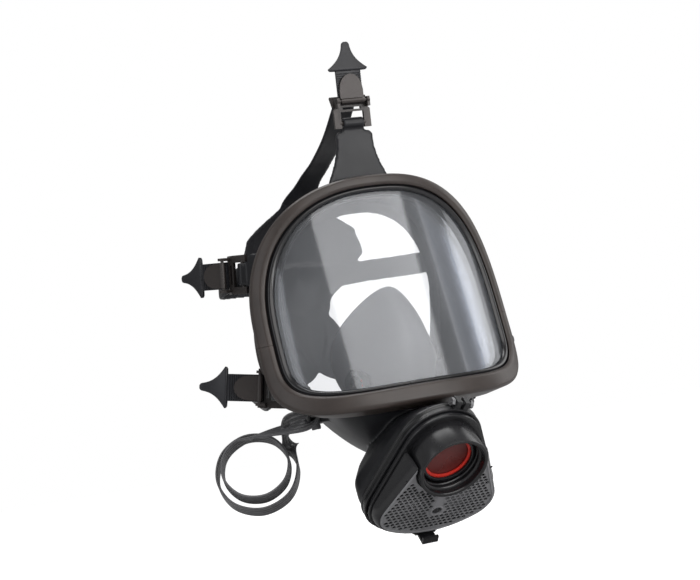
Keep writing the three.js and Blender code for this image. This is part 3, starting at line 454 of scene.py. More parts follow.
def seal_point(angle):
    upper = sin(angle) >= 0
    power = 2 / (SEAL["top_power"] if upper else SEAL["bottom_power"])
    x = SEAL["half"] * signed_power(cos(angle), power)
    z = SEAL["mid_z"] + (SEAL["up"] if upper else SEAL["down"]) * signed_power(sin(angle), power)
    chin = max(0, (SEAL["mid_z"] - z) / SEAL["down"])
    temple = SEAL_DEPTH["temple"] * (abs(x) / SEAL["half"]) ** 1.6
    return np.array((x, SEAL_DEPTH["forehead"] + temple + SEAL_DEPTH["chin"] * chin, z))


def inward_from(seal):
    return unit(np.array((-seal[0], 0, -10 - seal[2])))


def with_y(point, y):
    return np.array((point[0], y, point[2]))


def wall_curve(angle, depth):
    """Wall from the rim behind the lens to the sealing edge, at a depth inside its outer surface."""
    seal = seal_point(angle)
    inward = inward_from(seal)
    neck = rail(angle, 6.6, -11)
    upright = sin(angle) ** 2
    bulge = 2 + (8 if sin(angle) < 0 else 3) * upright
    share = 0.78 - 0.28 * upright
    step = with_y(neck + (seal - neck) * share, neck[1] + 7)
    belly = with_y(seal - inward * bulge, seal[1] - 26)
    out = []
    for t in np.linspace(0, 1, WALL_STEPS + 1):
        s = 1 - t
        point = s**3 * neck + 3 * s * s * t * step + 3 * s * t * t * belly + t**3 * seal
        tangent = 3 * s * s * (step - neck) + 6 * s * t * (belly - step) + 3 * t * t * (seal - belly)
        normal = unit(with_y(inward * tangent[1], -tangent @ inward))
        out.append(point + normal * depth)
    return out


def facepiece_section(angle):
    seal = seal_point(angle)
    inward = inward_from(seal)
    tip = with_y(seal + inward * LIP, seal[1] - 1)
    wall = CHANNEL["wall"] + GAP
    behind = CHANNEL["back_inner"] + GAP
    rim = [rail(angle, 12, -3.55), rail(angle, wall, -3.55), rail(angle, wall, behind)]
    rim.append(rail(angle, CHANNEL["lip"] + 0.6, behind))
    crease = with_y(seal + inward * 2, seal[1] + 1.2)
    lip = [crease, tip, with_y(tip, tip[1] - 1.6)]
    return rim + wall_curve(angle, 0) + lip + wall_curve(angle, WALL)[::-1] + [rail(angle, 12, -6.4)]


def inner_room(name):
    stations = [wall_curve(angle, WALL / 2) for angle in ROUND]
    return solid(name, [[curve[step] for curve in stations] for step in range(WALL_STEPS + 1)])


# ---- port outline


def in_port(points):
    """Port-frame points in the design frame."""
    return through(PORT_POSE, points)


def outline_round(circles, grow):
    """Convex outline round circles listed anticlockwise, grown by an offset."""
    count = len(circles)
    normals = []
    for i, (x, y, radius) in enumerate(circles):
        nx, ny, next_radius = circles[(i + 1) % count]
        along = atan2(ny - y, nx - x)
        lean = (radius - next_radius) / hypot(nx - x, ny - y)
        normals.append(along - acos(max(-1, min(1, lean))))
    points = []
    for i, (x, y, radius) in enumerate(circles):
        start = normals[i - 1]
        sweep = normals[i] - start
        while sweep < -1e-6:
            sweep += 2 * pi
        steps = max(2, round(degrees(sweep) / ARC_STEP))
        for k in range(steps + 1):
            a = start + sweep * k / steps
            points.append((x + (radius + grow) * cos(a), y + (radius + grow) * sin(a)))
    kept = [p for i, p in enumerate(points) if dist(p, points[(i + 1) % len(points)]) > 0.01]
    return np.array(kept)


SILL_V = PORT["corner_v"] + sqrt((PORT["sill"] - PORT["corner"]) ** 2 - PORT["corner_u"] ** 2)
PORT_CIRCLES = [
    (0, 0, PORT["top"]),
    (-PORT["corner_u"], PORT["corner_v"], PORT["corner"]),
    (0, SILL_V, PORT["sill"]),
    (PORT["corner_u"], PORT["corner_v"], PORT["corner"]),
]


def port_ring(name, profile, radius=0.4):
    """Ring whose closed [grow, height] profile follows the port's outline, with rounded edges."""
    rounded = fillet(profile, radius, 3)
    loops = [outline_round(PORT_CIRCLES, grow) for grow, _ in rounded]
    sections = []
    for j in range(len(loops[0])):
        section = [(*loops[i][j], rounded[i][1]) for i in range(len(rounded))]
        sections.append(in_port(section))
    return solid(name, sections, looped=True)


def port_stack(name, levels):
    """Solid stack of the port's outline at [grow, height] levels."""
    sections = []
    for grow, height in levels:
        loop = outline_round(PORT_CIRCLES, grow)
        sections.append(in_port(np.column_stack([loop, np.full(len(loop), height)])))
    return solid(name, sections)


def pouch(name, grow):
    """Rubber cup between the chin and the valve housing, or the room inside it."""
    loop = outline_round(PORT_CIRCLES, grow)
    knots = np.array(NECK_LEVELS, float)
    sections = []
    for i, level in enumerate(np.linspace(knots[0, 0], knots[-1, 0], 34)):
        wide, tall = (np.interp(-level, -knots[:, 0], knots[:, k]) for k in (1, 2))
        z = level + 2 if grow < 0 and i == 0 else level
        v = NECK_MIDDLE + (loop[:, 1] - NECK_MIDDLE) * tall
        sections.append(in_port(np.column_stack([loop[:, 0] * wide, v, loop[:, 0] * 0 + z])))
    return solid(name, sections)


# ---- materials


WHITE = (1, 1, 1, 1)
MOTTLE = 55  # scale of the clouds in a moulded colour


class Nodes:
    """Short way to build a node material."""

    def __init__(self, name):
        self.material = bpy.data.materials.new(name)
        self.material.use_nodes = True
        self.tree = self.material.node_tree
        self.tree.nodes.clear()
        self.output = self.add("OutputMaterial")
        self.where = self.add("TexCoord").outputs["Object"]

    def add(self, kind, inputs=None, **settings):
        node = self.tree.nodes.new("ShaderNode" + kind)
        for key, value in settings.items():
            setattr(node, key, value)
        for key, value in (inputs or {}).items():
            if hasattr(value, "is_output"):
                self.tree.links.new(value, node.inputs[key])
            else:
                node.inputs[key].default_value = value
        return node

    def noise(self, scale, detail=3, rough=0.55):
        inputs = {"Vector": self.where, "Scale": scale, "Detail": detail, "Roughness": rough}
        return self.add("TexNoise", inputs).outputs["Fac"]

    def bump(self, height, strength, distance, **more):
        inputs = {"Height": height, "Strength": strength, "Distance": distance, **more}
        return self.add("Bump", inputs).outputs[0]

    def ramp(self, factor, stops):
        node = self.add("ValToRGB", {"Fac": factor})
        for stop, (position, colour) in zip(node.color_ramp.elements, stops):
            stop.position = position
            stop.color = colour
        return node.outputs["Color"]

    def map(self, value, low, high, out_low, out_high):
        inputs = {"Value": value, "From Min": low, "From Max": high, "To Min": out_low, "To Max": out_high}
        return self.add("MapRange", inputs).outputs["Result"]

    def surface(self, shader):
        self.tree.links.new(shader.outputs[0], self.output.inputs["Surface"])
        return self.material


def tone(colour, factor):
    return (*(min(1, c * factor) for c in colour), 1)


def moulded(name, colour, rough, grain=1800, bump=0.12, variation=0.16, edge=1.6, metal=0.0, gloss=0.5):
    """Moulded rubber, plastic or coated metal: mottled colour, fine grain, handled patches, worn edges."""
    n = Nodes(name)
    cloud = n.noise(MOTTLE, 4)
    body = n.ramp(cloud, [(0.3, tone(colour, 1 - variation)), (0.72, tone(colour, 1 + variation))])
    pointed = n.add("NewGeometry").outputs["Pointiness"]
    worn = n.map(pointed, 0.505, 0.56, 0, 0.55)
    mixed = n.add("Mix", {0: worn, 6: body, 7: tone(colour, edge)}, data_type="RGBA")
    patches = n.noise(MOTTLE * 0.35, 5)
    roughness = n.map(patches, 0.3, 0.7, rough - 0.07, rough + 0.09)
    fine = n.noise(grain, 2, 0.6)
    flow = n.noise(MOTTLE * 2.2, 2)
    soft = n.bump(flow, bump * 0.5, 0.0004)
    grainy = n.bump(fine, bump, 0.00008, Normal=soft)
    inputs = {
        "Base Color": mixed.outputs[2],
        "Roughness": roughness,
        "Metallic": metal,
        "Specular IOR Level": gloss,
        "Normal": grainy,
    }
    return n.surface(n.add("BsdfPrincipled", inputs))


def lens_material():
    """Clear moulded lens: clear face on, brighter at glancing angles, with a little haze in it."""
    n = Nodes("clear_lens")
    facing = n.add("LayerWeight", {"Blend": 0.28}).outputs["Fresnel"]
    share = n.map(facing, 0, 1, 0.03, 0.8)
    cloud = n.noise(16, 2)
    tint = n.ramp(cloud, [(0.3, (0.955, 0.96, 0.97, 1)), (0.7, (0.975, 0.978, 0.985, 1))])
    clear = n.add("BsdfTransparent", {"Color": tint})
    bloom = n.add("BsdfDiffuse", {"Color": (0.8, 0.83, 0.88, 1)})
    haze = n.map(n.noise(9, 3), 0.3, 0.7, 0.025, 0.06)
    body = n.add("MixShader", {0: haze, 1: clear.outputs[0], 2: bloom.outputs[0]})
    shine = n.add("BsdfGlossy", {"Color": (0.94, 0.96, 1, 1), "Roughness": 0.1})
    mixed = n.add("MixShader", {0: share, 1: body.outputs[0], 2: shine.outputs[0]})
    return n.surface(mixed)


def steel_material():
    """Turned steel: bright, with fine brushed streaks."""
    n = Nodes("steel")
    streaks = n.add("Mapping", {"Vector": n.where, "Scale": (1, 1, 14)}).outputs[0]
    fine = n.add("TexNoise", {"Vector": streaks, "Scale": 900, "Detail": 2}).outputs["Fac"]
    colour = n.ramp(fine, [(0.2, (0.2, 0.2, 0.21, 1)), (0.8, (0.4, 0.4, 0.41, 1))])
    rough = n.map(fine, 0.2, 0.8, 0.22, 0.42)
    bump = n.bump(fine, 0.15, 0.0001)
    inputs = {"Base Color": colour, "Metallic": 1.0, "Roughness": rough, "Normal": bump}
    return n.surface(n.add("BsdfPrincipled", inputs))


def floor_material():
    """Pale sweep: it lights itself up for the camera, so that only soft shadows show on it."""
    n = Nodes("floor")
    cloud = n.noise(2, 2)
    colour = n.ramp(cloud, [(0.2, (0.5, 0.5, 0.51, 1)), (0.8, (0.53, 0.53, 0.53, 1))])
    seen = n.add("LightPath").outputs["Is Camera Ray"]
    glow = n.map(seen, 0, 1, 0, 0.9)
    inputs = {"Base Color": colour, "Roughness": 0.9, "Emission Color": WHITE, "Emission Strength": glow}
    return n.surface(n.add("BsdfPrincipled", inputs))


# Colour, roughness and what else sets each moulded or coated look apart.
MOULDED = {
    "gasket_rubber": dict(colour=(0.008, 0.008, 0.009), rough=0.22, bump=0.05, variation=0.1, edge=1.8),
    "face_rubber": dict(colour=(0.011, 0.0113, 0.0135), rough=0.33, grain=1400, bump=0.2, gloss=0.3),
    "strap_rubber": dict(colour=(0.013, 0.0133, 0.016), rough=0.36, grain=1600, bump=0.2, gloss=0.34),
    "carry_rubber": dict(colour=(0.06, 0.06, 0.064), rough=0.38, grain=1500, bump=0.15, edge=1.5),
    "frame_plastic": dict(colour=(0.03, 0.0225, 0.0197), rough=0.4, grain=1200, bump=0.3, variation=0.22),
    "housing_plastic": dict(colour=(0.008, 0.008, 0.009), rough=0.24, bump=0.06, variation=0.12, edge=2.2),
    "cover_plastic": dict(colour=(0.19, 0.19, 0.2), rough=0.36, grain=1300, bump=0.2, edge=1.35),
    "cup_rubber": dict(colour=(0.07, 0.07, 0.074), rough=0.47, grain=900, bump=0.1, variation=0.12, edge=1.3),
    "buckle_metal": dict(colour=(0.022, 0.0185, 0.0175), rough=0.36, grain=1100, metal=0.3, edge=2.2),
    "red_silicone": dict(
        colour=(0.55, 0.028, 0.018), rough=0.3, grain=900, bump=0.08, variation=0.14, edge=1.3
    ),
    "disc_film": dict(colour=(0.1, 0.017, 0.015), rough=0.3, grain=900, bump=0.06, variation=0.2, edge=1.3),
}
LOOKS = {name: moulded(name, **look) for name, look in MOULDED.items()}
LOOKS["clear_lens"] = lens_material()
LOOKS["steel"] = steel_material()
SLOT_OF = {part["node"]: part["material_slot"] for part in frame["record"]["subparts"]}


def stand_for(thing, node, body="root", sharp=35, look=None):
    """Finishes a piece that replaces one CAD node, with that node's material slot."""
    name = look or SLOT_OF[node]
    return finish_piece(thing, LOOKS[name], body, (node,), sharp)


# ---- visor, gasket and clamping frame


def build_visor():
    half = LENS["thickness"] / 2
    spans = [(15, s) for s in np.linspace(0.04, 0.98, 22)] + [(15, 1), (10, 1), (LENS["edge"], 1)]

    def ring(inset, share, rise):
        points = []
        for angle in ROUND:
            x, z = outline(angle, inset)
            points.append(off_lens(x * share, FRAME["mid_z"] + (z - FRAME["mid_z"]) * share, rise))
        return points

    front = [ring(inset, share, half) for inset, share in spans]
    back = [ring(inset, share, -half) for inset, share in spans]
    stand_for(solid("lens", front + back[::-1]), "visor")


def build_gasket():
    hold = CHANNEL["wall"] + GAP
    edge = LENS["edge"] - GAP
    corners = [
        (hold, -3.2),
        (hold, 3.3),
        (face(0.6), 3.3),
        (face(1.4), 4.1),
        (face(GASKET_SHOWN - 1), 3.6),
        (face(GASKET_SHOWN), 1.65),
        (edge, 1.65),
        (edge, -1.65),
        (12, -1.65),
        (12, -3.2),
    ]
    sections = [fillet(rails(angle, corners), 0.7, 3) for angle in ROUND]
    stand_for(solid("lens_gasket", sections, looped=True), "visor_gasket")


def frame_section(angle):
    c = CHANNEL
    corners = [
        (0, c["back"]),
        (0, c["front"] - 1.9),
        (1.9, c["front"]),
        (face(-1.6), c["front"]),
        (face(), c["front"] - 1.5),
        (face(), c["front_inner"]),
        (c["wall"], c["front_inner"]),
        (c["wall"], c["back_inner"]),
        (c["lip"], c["back_inner"]),
        (c["lip"], c["back"]),
    ]
    return fillet(rails(angle, corners), 1.1, 4)


def build_frame():
    """Both frame halves, each with the swelling that hides the joining screw."""
    ring = solid("frame_ring", [frame_section(angle) for angle in ROUND], looped=True)
    swells = []
    for side in (-1, 1):
        middle = off_lens(side * FRAME["half"], SEAM_Z, -1.5)
        slope = FRAME["half"] / sqrt(LENS["radius"] ** 2 - FRAME["half"] ** 2)
        middle = middle + unit(np.array((side, slope, 0))) * 0.6
        sections = []
        for t in np.linspace(0.06, pi - 0.06, 24):
            turn = turns(32)
            r = sin(t) ** 0.8
            x, y = 3.9 * r * np.cos(turn), 5.4 * r * np.sin(turn)
            level = np.column_stack([x, y, x * 0 - 18 * cos(t)])
            sections.append(level + middle * (1, 1, 0) + (0, 0, SEAM_Z))
        swells.append(solid(f"swell_{side}", sections))
    wall, near, far = CHANNEL["wall"], CHANNEL["front_inner"], CHANNEL["back_inner"]
    room = [(wall, near), (40, near), (40, far), (wall, far)]
    channel = [rails(angle, room) for angle in ROUND]
    whole = boolean(ring, "UNION", *swells)
    boolean(whole, "DIFFERENCE", solid("channel", channel, looped=True))
    lower = linked("lower", whole.data.copy())
    world = np.eye(4)
    boolean(whole, "DIFFERENCE", slab("below", (-120, -160, -160), (120, 80, SEAM_Z + 0.12), world))
    boolean(lower, "DIFFERENCE", slab("above", (-120, -160, SEAM_Z - 0.12), (120, 80, 160), world))
    whole.name, lower.name = "frame_upper_half", "frame_lower_half"
    stand_for(whole, "upper_frame")
    stand_for(lower, "lower_frame")


# ---- facepiece


def bezier(a, b, c, d, count):
    t = np.linspace(0, 1, count)[:, None]
    s = 1 - t
    a, b, c, d = (np.array(p, float) for p in (a, b, c, d))
    return s**3 * a + 3 * s * s * t * b + 3 * s * t * t * c + t**3 * d


def cross_rod(name, radius, length, matrix, y=0, z=0, at=0):
    """Rod along the frame's x."""
    a = turns(32)
    ring = np.column_stack([a * 0, y + radius * np.cos(a), z + radius * np.sin(a)])
    ends = [ring + (at + s * length / 2, 0, 0) for s in (-1, 1)]
    return solid(name, [through(matrix, end) for end in ends])


def flat_shape(name, points, low, high, matrix):
    """Plate with the given outline in the frame's x, y plane."""
    rings = [[(x, y, z) for x, y in points] for z in (low, high)]
    return solid(name, [through(matrix, ring) for ring in rings])


def tab(name):
    root, flare = TABS[set_kind(name)]
    neck = LOOP["shoulder"] - 2
    span = neck + root
    near, far = (BUCKLE_HALF, neck), (flare, -root)
    edge = bezier(near, (BUCKLE_HALF, neck - span * 0.5), (flare, -root + span * 0.3), far, 14)
    right = [(LOOP["half"], 0), (LOOP["half"], LOOP["shoulder"]), (11, LOOP["shoulder"]), *map(tuple, edge)]
    left = [(-x, y) for x, y in right][::-1]
    matrix = SETS[name]
    blade = flat_shape("blade", right + left, -1.5, 1.5, matrix)
    loop = cross_rod("loop", LOOP["outer"], 2 * LOOP["half"], matrix)
    whole = boolean(blade, "UNION", loop)
    return boolean(whole, "DIFFERENCE", cross_rod("bore", LOOP["inner"], 40, matrix))


def stud(side):
    world = np.eye(4)
    shank = cross_rod("shank", STUD["shank"], 24, world, STUD["y"], STUD["z"], side * (STUD["x"] - 4))
    tip = side * (STUD["x"] + STUD["reach"])
    head = cross_rod("head", STUD["head"], 1.8, world, STUD["y"], STUD["z"], tip)
    return boolean(shank, "UNION", head)


def build_facepiece():
    shell = solid("facepiece_rubber", [facepiece_section(angle) for angle in ROUND], looped=True)
    outside = boolean(pouch("pouch", 0), "UNION", *[tab(name) for name in SET_NAMES], stud(-1), stud(1))
    boolean(outside, "DIFFERENCE", inner_room("room"))
    boolean(shell, "UNION", outside)
    boolean(shell, "DIFFERENCE", pouch("pouch_room", -3))
    remoulded(shell, RUBBER_VOXEL, 5)
    stand_for(shell, "facepiece", sharp=0)


# ---- valve housing, connector and cover


def build_housing():
    c = CONNECTOR
    rim = c["rim"]
    tube = lathe(
        "connector_tube",
        [
            (c["outer"], PLATE["front"] - 1),
            (c["outer"], rim),
            (c["thread"] + 0.7, rim),
            (c["thread"], rim - 0.8),
            (c["thread"], -20.7),
            (17, -20.7),
            (17, -26),
            (16, -26),
            (16, -40),
            (19, -40),
            (19, PLATE["back"] + 1),
        ],
        radius=0.5,
    )
    back, front = PLATE["back"], PLATE["front"]
    plate = port_ring("flange", [(-4.5, back), (0.9, back), (0.9, front), (-1.9, front), (-4.5, front)], 0.5)
    skirt = port_ring("skirt", [(-6.4, -38.6), (-3.4, -38.6), (-3.4, back), (-6.4, back)])
    floor = port_stack("floor", [(-4.4, back), (-4.4, front)])
    holes = [
        disc("hole", VALVE["opening"], -45, -15, (side * VALVE["u"], VALVE["v"]), 48) for side in (-1, 1)
    ]
    bore = disc("bore", 16, -60, 5)
    boolean(floor, "DIFFERENCE", *holes, bore)
    clip_slot = slab("slot", (-7.4, CLIP_V - 2.4, -31), (7.4, CLIP_V + 2.4, -20))
    flange = boolean(plate, "UNION", floor)
    boolean(flange, "DIFFERENCE", clip_slot)
    stand_for(flange, "valve_housing")
    tube.name = "connector"
    stand_for(tube, "valve_housing")
    stand_for(skirt, "valve_housing")
    hinge = cross_rod("clip_pin", 1.2, 17, PORT_POSE, CLIP_V, CLIP_W)
    stand_for(hinge, "valve_housing")
    build_thread()
    build_spiders()
    build_spigot()


def build_thread():
    """Rounded helical ridge inside the connector."""
    c = CONNECTOR
    stations = 72
    sections = []
    total = round(c["turns"] * stations)
    for i in range(total + 1):
        a = 2 * pi * i / stations
        fade = min(1, i / 14, (total - i) / 14)
        z = c["rim"] - 2.2 - c["pitch"] * i / stations
        ridge = []
        for t in np.linspace(0, pi, 9):
            r = c["thread"] + 0.5 - (0.5 + (c["thread"] - c["crest"]) * fade) * sin(t)
            ridge.append((r * cos(a), r * sin(a), z + 1.25 * cos(t)))
        sections.append(in_port(ridge))
    stand_for(solid("connector_thread", sections), "valve_housing")


def spider(name, radius, low, high, at):
    """Three crossing spokes with a round hub."""
    spokes = []
    for turn in (0, 60, 120):
        c, s = cos(radians(turn)), sin(radians(turn))
        ends = []
        for x, y in ((-radius, -0.9), (radius, -0.9), (radius, 0.9), (-radius, 0.9)):
            ends.append((at[0] + x * c - y * s, at[1] + x * s + y * c))
        spokes.append(flat_shape("spoke", ends, low, high, PORT_POSE))
    whole = disc(name, SPIDER_HUB, low - 0.05, high + 0.05, at, 32)
    return boolean(whole, "UNION", *spokes)


def build_spiders():
    inlet = spider("inlet_spokes", 16.5, -28.5, -26, (0, 0))
    outlet = spider("outlet_spokes", VALVE["opening"] + 0.5, PLATE["back"], -27.6, (-VALVE["u"], VALVE["v"]))
    post = disc("cover_post", 2.4, PLATE["front"] - 1, -19.2, (0, POST_V), 48)
    for thing in (inlet, outlet, post):
        stand_for(thing, "valve_housing")


def spigot_point(angle, grow):
    along = max(-1, min(1, 1.5 * cos(angle)))
    radius = SPIGOT["radius"] + grow
    return SPIGOT["half"] * along + radius * cos(angle), SPIGOT["v"] + radius * sin(angle)


def build_spigot():
    wall = SPIGOT["wall"]
    profile = fillet([(0, SPIGOT["back"]), (0, -28.6), (-wall, -28.6), (-wall, SPIGOT["back"])], 0.5)
    sections = []
    for angle in turns(96):
        sections.append(in_port([(*spigot_point(angle, grow), z) for grow, z in profile]))
    stand_for(solid("nose_cup_spigot", sections, looped=True), "valve_housing")


def face_height(v, inset=0):
    """Height of the cover's tilted face, or of a face parallel to it."""
    drop = inset / cos(COVER["tilt"])
    return COVER["near_z"] + (v - COVER["near_v"]) * tan(COVER["tilt"]) - drop


def cover_stack(name, levels):
    """Cover-shaped solid: [grow, depth under the face, or None for the skirt] from the skirt up."""
    sections = []
    for grow, inset in levels:
        loop = outline_round(PORT_CIRCLES, grow)
        heights = [COVER["skirt"] - 1 if inset is None else face_height(v, inset) for _, v in loop]
        sections.append(in_port(np.column_stack([loop, heights])))
    return solid(name, sections)


def inside_grille(u, v):
    rim = outline_round(PORT_CIRCLES, -GRILLE["rim"])
    turned = np.roll(rim, -1, axis=0)
    side = (turned[:, 0] - rim[:, 0]) * (v - rim[:, 1]) - (turned[:, 1] - rim[:, 1]) * (u - rim[:, 0])
    clear_connector = hypot(u, v) > CONNECTOR["outer"] + GRILLE["collar"]
    clear_centre = hypot(u, v - POST_V) > 6.2
    bridge = abs(u) > 5 or v < POST_V
    corner = v < -9 or abs(u) > 60
    return (side > 0).all() and clear_connector and clear_centre and bridge and corner


def cover_cutters():
    """Everything that the connector, the post and the clip need free of the cover."""
    return [
        port_stack("skirt_cut", [(3, COVER["skirt"] - 6), (3, COVER["skirt"])]),
        disc("clear", CONNECTOR["outer"] + 1.2, -60, 10),
        slab("above", (-60, COVER["top"], -60), (60, 60, 10)),
        disc("centre", 3.4, -60, 10, (0, POST_V), 48),
        slab("notch", (-7.4, CLIP_V - 6, -40), (7.4, CLIP_V + 4.4, -20.4)),
    ]


def build_cover():
    """Shell with drafted sides, given the housing's black look instead of the cover's own grey, and, let into it,
    the grey grille panel with a raised rim.
    """
    panel = GRILLE["panel"]
    flank = [(-0.4, None), (-0.4, 7), (-1.5, 3), (-2.4, 1.1), (-3.1, 0.3), (-3.9, 0)]
    shell = cover_stack("cover_shell", flank)
    inner = cover_stack("inner", [(-0.4 - COVER["wall"], None), (-2.2 - COVER["wall"], COVER["wall"])])
    seat = cover_stack("panel_seat", [(-panel, 4), (-panel, -2)])
    boolean(shell, "DIFFERENCE", inner, seat, *cover_cutters())
    stand_for(shell, "valve_cover", sharp=40, look="housing_plastic")
    depth = COVER["wall"] - 0.3
    grille = cover_stack("grille_panel", [(-panel - 0.1, depth), (-panel - 0.1, 0.3), (-panel - 0.5, 0)])
    recess = cover_stack("recess", [(-panel - 1.5, 0.55), (-panel - 1.2, -1)])
    boolean(grille, "DIFFERENCE", recess, *cover_cutters())
    boolean(grille, "DIFFERENCE", grille_holes())
    stand_for(grille, "valve_cover", sharp=30)
    rim = lathe("centre_hole_rim", [(3.4, -2), (4.9, -2), (4.6, 0.1), (3.4, 0.1)], tilted(POST_V), 48)
    stand_for(rim, "valve_cover")
    for side, word in ((-1, "right"), (1, "left")):
        corner = tilted(-9.5, side * 29.6)
        pin = disc("corner_screw_" + word, 1, -0.7, -0.45, sides=24, edge=0.1, matrix=corner)
        stand_for(pin, "valve_cover", look="housing_plastic")


def tilted(v, u=0):
    """Frame on the cover's face: z out of the face, at a given place on it."""
    c, s = cos(COVER["tilt"]), sin(COVER["tilt"])
    local = pose((u, v, face_height(v)), (1, 0, 0), (0, c, s), (0, -s, c))
    return PORT_POSE @ local


def grille_holes():
    """All the grille's holes as one set of many-sided pins."""
    pitch, sides = GRILLE["pitch"], GRILLE["sides"]
    verts, faces, base = [], [], 0
    for row in range(-14, 15):
        v = VALVE["v"] + row * pitch * sqrt(0.75)
        for step in range(-14, 15):
            u = (step + (0.5 if row % 2 else 0)) * pitch
            if not inside_grille(u, v):
                continue
            a = (np.arange(sides) + 0.5) * 2 * pi / sides
            ring = np.column_stack([u + GRILLE["hole"] * np.cos(a), v + GRILLE["hole"] * np.sin(a)])
            top, low = face_height(v) + 2, face_height(v) - 4
            for height in (low, top):
                verts.append(in_port(np.column_stack([ring, np.full(sides, height)])))
            for j in range(sides):
                k = (j + 1) % sides
                faces.append((base + j, base + k, base + sides + k, base + sides + j))
            faces.append(tuple(base + j for j in range(sides))[::-1])
            faces.append(tuple(base + sides + j for j in range(sides)))
            base += 2 * sides
    return new_object("grille_pins", np.concatenate(verts), faces)


def build_port_fittings():
    inner, outer, back, front = (BAND[key] for key in ("inner", "outer", "back", "front"))
    waist = outer - 0.7
    hollow = [(outer, back + 1.6), (waist, back + 2.3), (waist, front - 2.3), (outer, front - 1.6)]
    profile = [(inner, back), (outer, back), *hollow, (outer, front), (inner, front)]
    band = port_ring("housing_clamp", profile)
    stand_for(band, "clamp_band")
    c, k = cos(BAND["lug_turn"]), sin(BAND["lug_turn"])
    middle = (BAND["back"] + BAND["front"]) / 2
    lug_pose = PORT_POSE @ pose((PORT["top"] * c, PORT["top"] * k, middle), (c, k, 0), (-k, c, 0), (0, 0, 1))
    for side, word in ((-1, "right"), (1, "left")):
        low, high = sorted((side * BAND["gap"], side * (BAND["gap"] + 4)))
        lug = slab("clamp_lug_" + word, (1.6, low, -3.3), (8.1, high, 3.3), lug_pose)
        boolean(lug, "DIFFERENCE", slab("screw_room", (4.2, low - 1, -1.2), (6.6, high + 1, 1.2), lug_pose))
        rounded(lug, 0.7)
        stand_for(lug, "clamp_band")
    bevelled("cover_clip", 0.35)
    for node in ("exhalation_valve_seat", "diaphragm_ring", "speech_diaphragm"):
        dress(node)
    washer = lathe("thread_washer", [(15.6, -18.7), (17.9, -18.7), (17.9, -16.9), (15.6, -16.9)], radius=0.5)
    stand_for(washer, "sealing_washer")
    seat = lathe("inlet_seat", [(14.2, -20.35), (17.9, -20.35), (17.9, -19.05), (14.2, -19.05)], radius=0.4)
    stand_for(seat, "inhalation_valve_seat")
    flap = disc("inlet_flap", 16.3, -21.8, -20.7)
    stand_for(flap, "inhalation_valve_disc", "inhalation_flap")
    # The exhalation flap takes the black gasket rubber instead of its own red silicone: painted shade, so that
    # what shows through the grille holes stays dark.
    outlet = disc("outlet_flap", 12.2, -24.85, -23.8, (-VALVE["u"], VALVE["v"]), 64)
    stand_for(outlet, "exhalation_valve_disc", "exhalation_flap", look="gasket_rubber")


def dress(node):
    """Finished material on a CAD node that keeps its shape."""
    thing = frame["nodes"][node]
    thing.data.materials.clear()
    thing.data.materials.append(LOOKS[SLOT_OF[node]])
    return thing


def rounded(thing, width):
    """Rounds off the sharp edges of a piece."""
    bevel = thing.modifiers.new("rounding", "BEVEL")
    bevel.width = width * MM
    bevel.segments = 3
    bevel.limit_method = "ANGLE"
    bevel.angle_limit = radians(38)
    bevel.harden_normals = True
    return thing


def bevelled(node, width):
    """CAD node with rounded edges."""
    return rounded(dress(node), width)


# ---- nose cup


def cup_rim(angle):
    middle = (CUP["nose_z"] + CUP["chin_z"]) / 2
    rise = max(0, sin(angle))
    x = CUP["half"] * cos(angle) * (1 - 0.35 * rise**2)
    z = middle + (CUP["nose_z"] - CUP["chin_z"]) / 2 * sin(angle)
    return np.array((x, -14 - 26 * rise**2 + 0.1 * abs(x), z))


def cup_curve(angle, lift):
    def ring(r):
        point = ((r["u"] + lift) * cos(angle), r["v"] + (r["h"] + lift) * sin(angle), r["z"])
        return in_port([point])[0]

    collar = in_port([(*spigot_point(angle, CUP["wall"] + GAP + lift), SPIGOT["back"] - 0.8)])[0]
    rim = cup_rim(angle)
    middle = (CUP["nose_z"] + CUP["chin_z"]) / 2
    out = unit(np.array((rim[0], 0, rim[2] - middle)))
    rim = rim + out * lift
    waist = ring(CUP_WAIST)
    rise = max(0, sin(angle))
    belly = rim + (waist - rim) * 0.45 + out * 3
    belly[1] -= 6 + 12 * rise + lift * 0.6
    return list(catmull([rim, belly, waist, ring(CUP_NECK), collar], 28))


def build_cup():
    sections = []
    for angle in turns(96):
        outer, inner = spigot_point(angle, CUP["wall"] + GAP), spigot_point(angle, GAP)
        edges = in_port([(*outer, SPIGOT["back"] + 4), (*inner, SPIGOT["back"] + 4)])
        sections.append(cup_curve(angle, 0) + list(edges) + cup_curve(angle, -CUP["wall"])[::-1])
    cup = solid("inner_cup", sections, looped=True)
    for side in ("right", "left"):
        low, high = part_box("nose_cup_valve_seat_" + side)
        centre = in_mm((low + high) / 2) - SHIFT
        z = -unit(np.array(JOINTS["cup_flap_lift_" + side]["axis"], float))
        y = np.array((0, 0, 1.0))
        matrix = pose(centre, np.cross(y, z), y, z)
        boolean(cup, "DIFFERENCE", disc("hole", CUP["valve_hole"] + GAP, -9, 9, sides=48, matrix=matrix))
        dress("nose_cup_valve_seat_" + side)
        dress("nose_cup_valve_disc_" + side)
    stand_for(cup, "nose_cup", sharp=50)


# ---- strap ends and buckles


